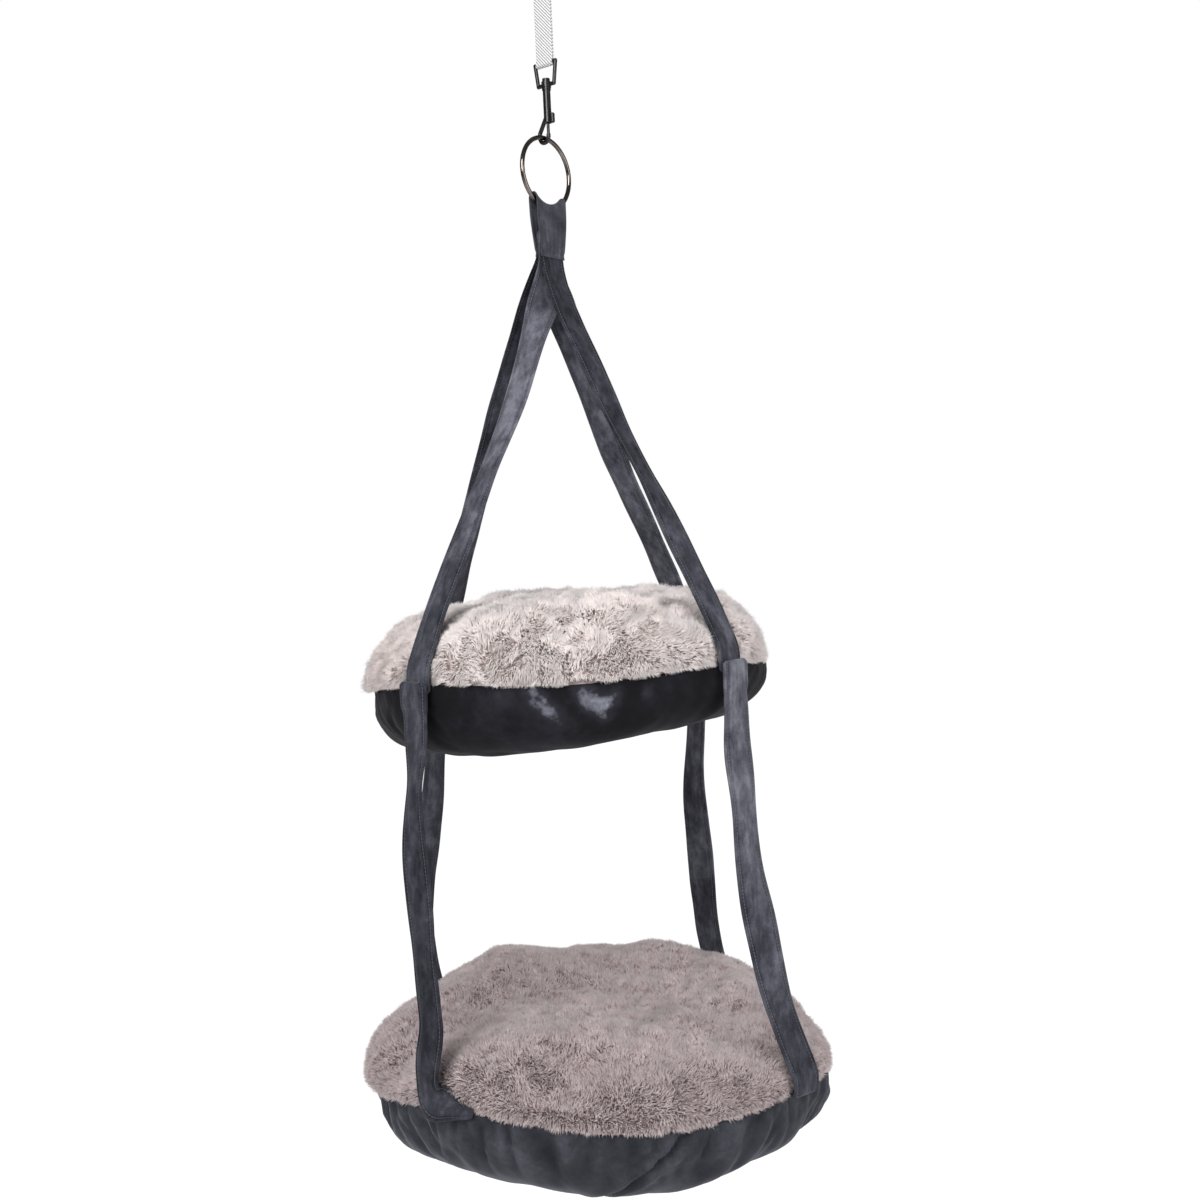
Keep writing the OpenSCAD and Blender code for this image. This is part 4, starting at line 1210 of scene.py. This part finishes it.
# %% One lock of pile
FOOT_AT = 0.22
lock_bm = bmesh.new()
bmesh.ops.create_circle(lock_bm, cap_ends=True, radius=1, segments=3, matrix=Matrix.Translation((0, 0, FOOT_AT)))
grown = bmesh.ops.extrude_edge_only(lock_bm, edges=lock_bm.edges[:])["geom"]
end = [g for g in grown if isinstance(g, bmesh.types.BMVert)]
bmesh.ops.pointmerge(lock_bm, verts=end, merge_co=(0, 0, 1))
bmesh.ops.recalc_face_normals(lock_bm, faces=lock_bm.faces)
lock_bm.verts.index_update()
LOCK = np.array([v.co for v in lock_bm.verts])
LOCK_FACES = np.array([[v.index for v in f.verts] for f in lock_bm.faces])
lock_bm.free()
print("one lock:", len(LOCK), "points", len(LOCK_FACES), "triangles")

# %% [markdown]
# ## Locks over a cushion
# Copies of the lock are placed by array sums. Roots are spread evenly over the ground. The locks lean over
# in eddies, and those near each other share a part of their way to one tip, as combed plush does, with
# darker valleys between the tips. Near the straps the pile is pressed short.

# %% Roots
RINGS, RING_ANGLE, SLOPE_STEP = 60, 0.8, 0.01


def nearest(spots, points):
    """For each point, which of the spots is nearest and how far away it is."""
    tree = KDTree(len(spots))
    for k, spot in enumerate(spots):
        tree.insert(spot, k)
    tree.balance()
    index, away = zip(*[tree.find(p)[1:] for p in points])
    return np.array(index), np.array(away)


def roots_on(bed, count, rng):
    """Random roots spread evenly over the ground, with the ground's direction at each."""
    edges = np.linspace(0, math.pi / 2, RINGS + 1)
    rings = plush_surface(bed, np.full(RINGS, RING_ANGLE), (edges[:-1] + edges[1:]) / 2, GROUND_INSET)
    r = np.linalg.norm(rings[:, :2] - [bed.x, bed.y], axis=1)
    profile = plush_surface(bed, np.full(RINGS + 1, RING_ANGLE), edges, GROUND_INSET)
    weight = r * np.linalg.norm(np.diff(profile, axis=0), axis=1)
    ring = rng.choice(RINGS, count, p=weight / weight.sum())
    t = (ring + rng.uniform(0, 1, count)) * (math.pi / 2 / RINGS)
    a = rng.uniform(0, 2 * math.pi, count)
    root = plush_surface(bed, a, t, GROUND_INSET)
    round_step = plush_surface(bed, a + SLOPE_STEP, t, GROUND_INSET) - root
    up_step = plush_surface(bed, a, np.clip(t + SLOPE_STEP, 0, math.pi / 2 - 1e-4), GROUND_INSET) - root
    normal = unit(np.cross(round_step, up_step))
    normal[normal @ UP < -0.3] *= -1
    return root, normal, a, t


# %% How the pile lies
EDDY_WIDE, EDDY_FINE, TUFT_WAVE, TUFT_SHARE = 100 * MM, 30 * MM, 15 * MM, 0.12
FOOT_CLEAR, FOOT_SIDE = 0.6 * MM, 3 * MM


def swirl(spot, up, length, seed):
    """A direction along the surface that turns in eddies, without points that it runs away from."""
    step = 0.1 * length
    east = ripple(spot + [step, 0, 0], length, seed) - ripple(spot - [step, 0, 0], length, seed)
    north = ripple(spot + [0, step, 0], length, seed) - ripple(spot - [0, step, 0], length, seed)
    return np.cross(up, np.stack([east, north, 0 * east], 1))


def lean(spot, up, seed):
    """Which way and how far the pile leans at each root."""
    flow = 0.25 * swirl(spot, up, EDDY_WIDE, seed + 1) + 0.55 * swirl(spot, up, EDDY_FINE, seed + 2) - 0.35 * UP
    flow -= (flow * up).sum(1)[:, None] * up
    return unit(flow) * np.minimum(np.linalg.norm(flow, axis=1), 1.0)[:, None]


def tufts(spot, seed):
    """Small ups and downs of the pile's length and tone."""
    return ripple(spot, TUFT_WAVE, seed + 9)


def behind_feet(bed, points):
    """The same points, with those that would stand through a strap's sewn end pushed in behind it."""
    face = (UPPER_STRAP_R if bed is UPPER else LOWER_LOW_R) - STRAP_T / 2 - FOOT_CLEAR
    for corner, degrees in CORNERS.items():
        turn, shift = (0, 0) if bed is UPPER else (math.radians(LOWER_PLAN[corner][2]), LOWER_PLAN[corner][4])
        a = math.radians(degrees) + bed.yaw
        rim, out_dir = np.array([-math.sin(a), math.cos(a), 0]), np.array([math.cos(a), math.sin(a), 0])
        local = points - [bed.x, bed.y, 0.0] - face * out_dir - shift * rim
        plane = math.cos(turn) * out_dir + math.sin(turn) * rim
        across, outward = local @ rim, local @ plane
        past = np.where(np.abs(across) < STRAP_W / 2 + FOOT_SIDE, np.maximum(outward, 0), 0)
        points = points - past[..., None] * plane
    return points


# %% Shapes and shades of the locks
SHADE_STEPS = 128


def bent_locks(root, bend, tip, normal, wide, rng):
    """Every lock's points: copies of the one lock along a curve from root to tip that bend pulls at."""
    count, s = len(root), LOCK[:, 2]
    curve = ((1 - s) ** 2)[None, :, None] * root[:, None] + (2 * s * (1 - s))[None, :, None] * bend[:, None]
    curve += (s ** 2)[None, :, None] * tip[:, None]
    one = unit(np.cross(tip - root, normal) + 0.003 * rng.normal(size=(count, 3)))
    two = unit(np.cross(tip - root, one))
    half = wide * rng.uniform(0.7, 1.3, count)
    belly = LOCK[None, :, :1] * one[:, None] + 0.6 * LOCK[None, :, 1:2] * two[:, None]
    return curve + half[:, None, None] * belly


def lock_shades(root, t, home, clumps, painted_end_shade, seed, rng):
    """Every lock's own shade, 0 to 1: slow waves, each clump's tone, painted light that makes it paler at the
    rim and painted shade that makes it darker at the ends.
    """
    shade = 0.5 + 0.035 * ripple(root, 0.07, seed + 8) + 0.085 * rng.normal(size=clumps)[home]
    # Painted light: the last term makes the locks paler at the rim
    shade += 0.04 * tufts(root, seed) + 0.09 * np.exp(-(t / math.radians(6)) ** 2)
    # Painted shade: darker towards both ends, the left one most
    side = np.where(root[:, 0] < 0, 1, 0.4)
    shade -= painted_end_shade * side * eased((np.abs(root[:, 0]) - 0.11) / 0.08)
    return np.clip(shade + 0.105 * rng.normal(size=len(root)), 0.02, 0.98)


def pile_piece(title, points, shade, finish):
    """One mesh of many locks. Its map holds the lock's shade and the way along the lock."""
    count = len(points)
    faces = (LOCK_FACES[None] + (np.arange(count) * len(LOCK))[:, None, None]).reshape(-1, 3)
    mesh = bpy.data.meshes.new(title)
    mesh.vertices.add(count * len(LOCK))
    mesh.vertices.foreach_set("co", points.astype(np.float32).ravel())
    mesh.loops.add(faces.size)
    mesh.loops.foreach_set("vertex_index", faces.astype(np.int32).ravel())
    mesh.polygons.add(len(faces))
    mesh.polygons.foreach_set("loop_start", np.arange(0, faces.size, 3, dtype=np.int32))
    cell = np.floor(shade * SHADE_STEPS) / SHADE_STEPS
    shade_u = cell[:, None] + (0.5 + 0.4 * LOCK[None, :, 0]) / SHADE_STEPS
    both = np.stack([shade_u.ravel(), np.tile(LOCK[:, 2] * 0.96 + 0.02, count)], 1)
    chart = mesh.uv_layers.new(name="OFBake")
    chart.data.foreach_set("uv", both[faces.ravel()].astype(np.float32).ravel())
    mesh.update(calc_edges=True)
    mesh.shade_smooth()
    mesh.materials.append(finish.material)
    piece = bpy.data.objects.new(title, mesh)
    scene.collection.objects.link(piece)
    return piece


# %% Pile on both beds
PIECE_TRIANGLES = 190000
PRESSED_REACH, PRESSED_SHORT = 26 * MM, 0.55
SEAM_OVER = 3 * MM


def pile(name, bed, body, lines, count, clumps, length, wide, lying, gather, stray, painted_end_shade, seed):
    """Pile over one cushion. lying is how far the locks lean over, gather how much they share a tip, stray how
    much each goes its own way and painted_end_shade how much painted shade darkens the ends, the left one most."""
    rng = np.random.default_rng(seed)
    root, normal, a, t = roots_on(bed, count, rng)
    mid_root, mid_normal, _, _ = roots_on(bed, clumps, rng)
    reach = length * rng.uniform(0.85, 1.1, clumps) * (1 + TUFT_SHARE * tufts(mid_root, seed))
    mid_tip = mid_root + unit(mid_normal + lying * lean(mid_root, mid_normal, seed)) * reach[:, None]
    home, _ = nearest(mid_root, root)
    own = length * rng.uniform(0.75, 1.1, count) * (1 + TUFT_SHARE * tufts(root, seed))
    _, away = nearest(np.concatenate(lines), root)
    pressed = np.clip(1 - away / PRESSED_REACH, 0, 1)
    own *= 1 - PRESSED_SHORT * pressed
    wild = stray * rng.normal(size=(count, 3))
    tip = root + unit(normal + lying * lean(root, normal, seed) + wild) * own[:, None]
    pull = (gather * (1 - pressed))[:, None]
    tip = tip * (1 - pull) + (mid_tip[home] + 1 * MM * rng.normal(size=(count, 3))) * pull
    seam = bed.level(a, bed.radius) - SEAM_OVER * rng.uniform(0, 1.3, count)
    tip[:, 2] = np.maximum(tip[:, 2], seam)
    bend = root + normal * own[:, None] * 0.55 + 0.8 * MM * rng.normal(size=(count, 3))
    bend[:, 2] = np.maximum(bend[:, 2], seam)
    points = behind_feet(bed, bent_locks(root, bend, tip, normal, wide, rng))
    shade = lock_shades(root, t, home, clumps, painted_end_shade, seed, rng)
    order = np.argsort(a)
    per_piece = PIECE_TRIANGLES // len(LOCK_FACES)
    for number, first in enumerate(range(0, count, per_piece)):
        pick = order[first:first + per_piece]
        piece = pile_piece(f"{name}_pile_{number + 1}", points[pick], shade[pick], PILES[name])
        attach(piece, body)
        print(piece.name, "has", len(pick), "locks")


pile("upper", UPPER, "sling", strap_lines["upper"] + strap_lines["lower"], count=170000, clumps=20000,
     length=12 * MM, wide=0.8 * MM, lying=1.2, gather=0.42, stray=0.25, painted_end_shade=0.36, seed=101)
pile("lower", LOWER, "lower_bed", strap_lines["lower"], count=210000, clumps=60000,
     length=9.5 * MM, wide=0.7 * MM, lying=0.55, gather=0.3, stray=0.3, painted_end_shade=0.06, seed=201)
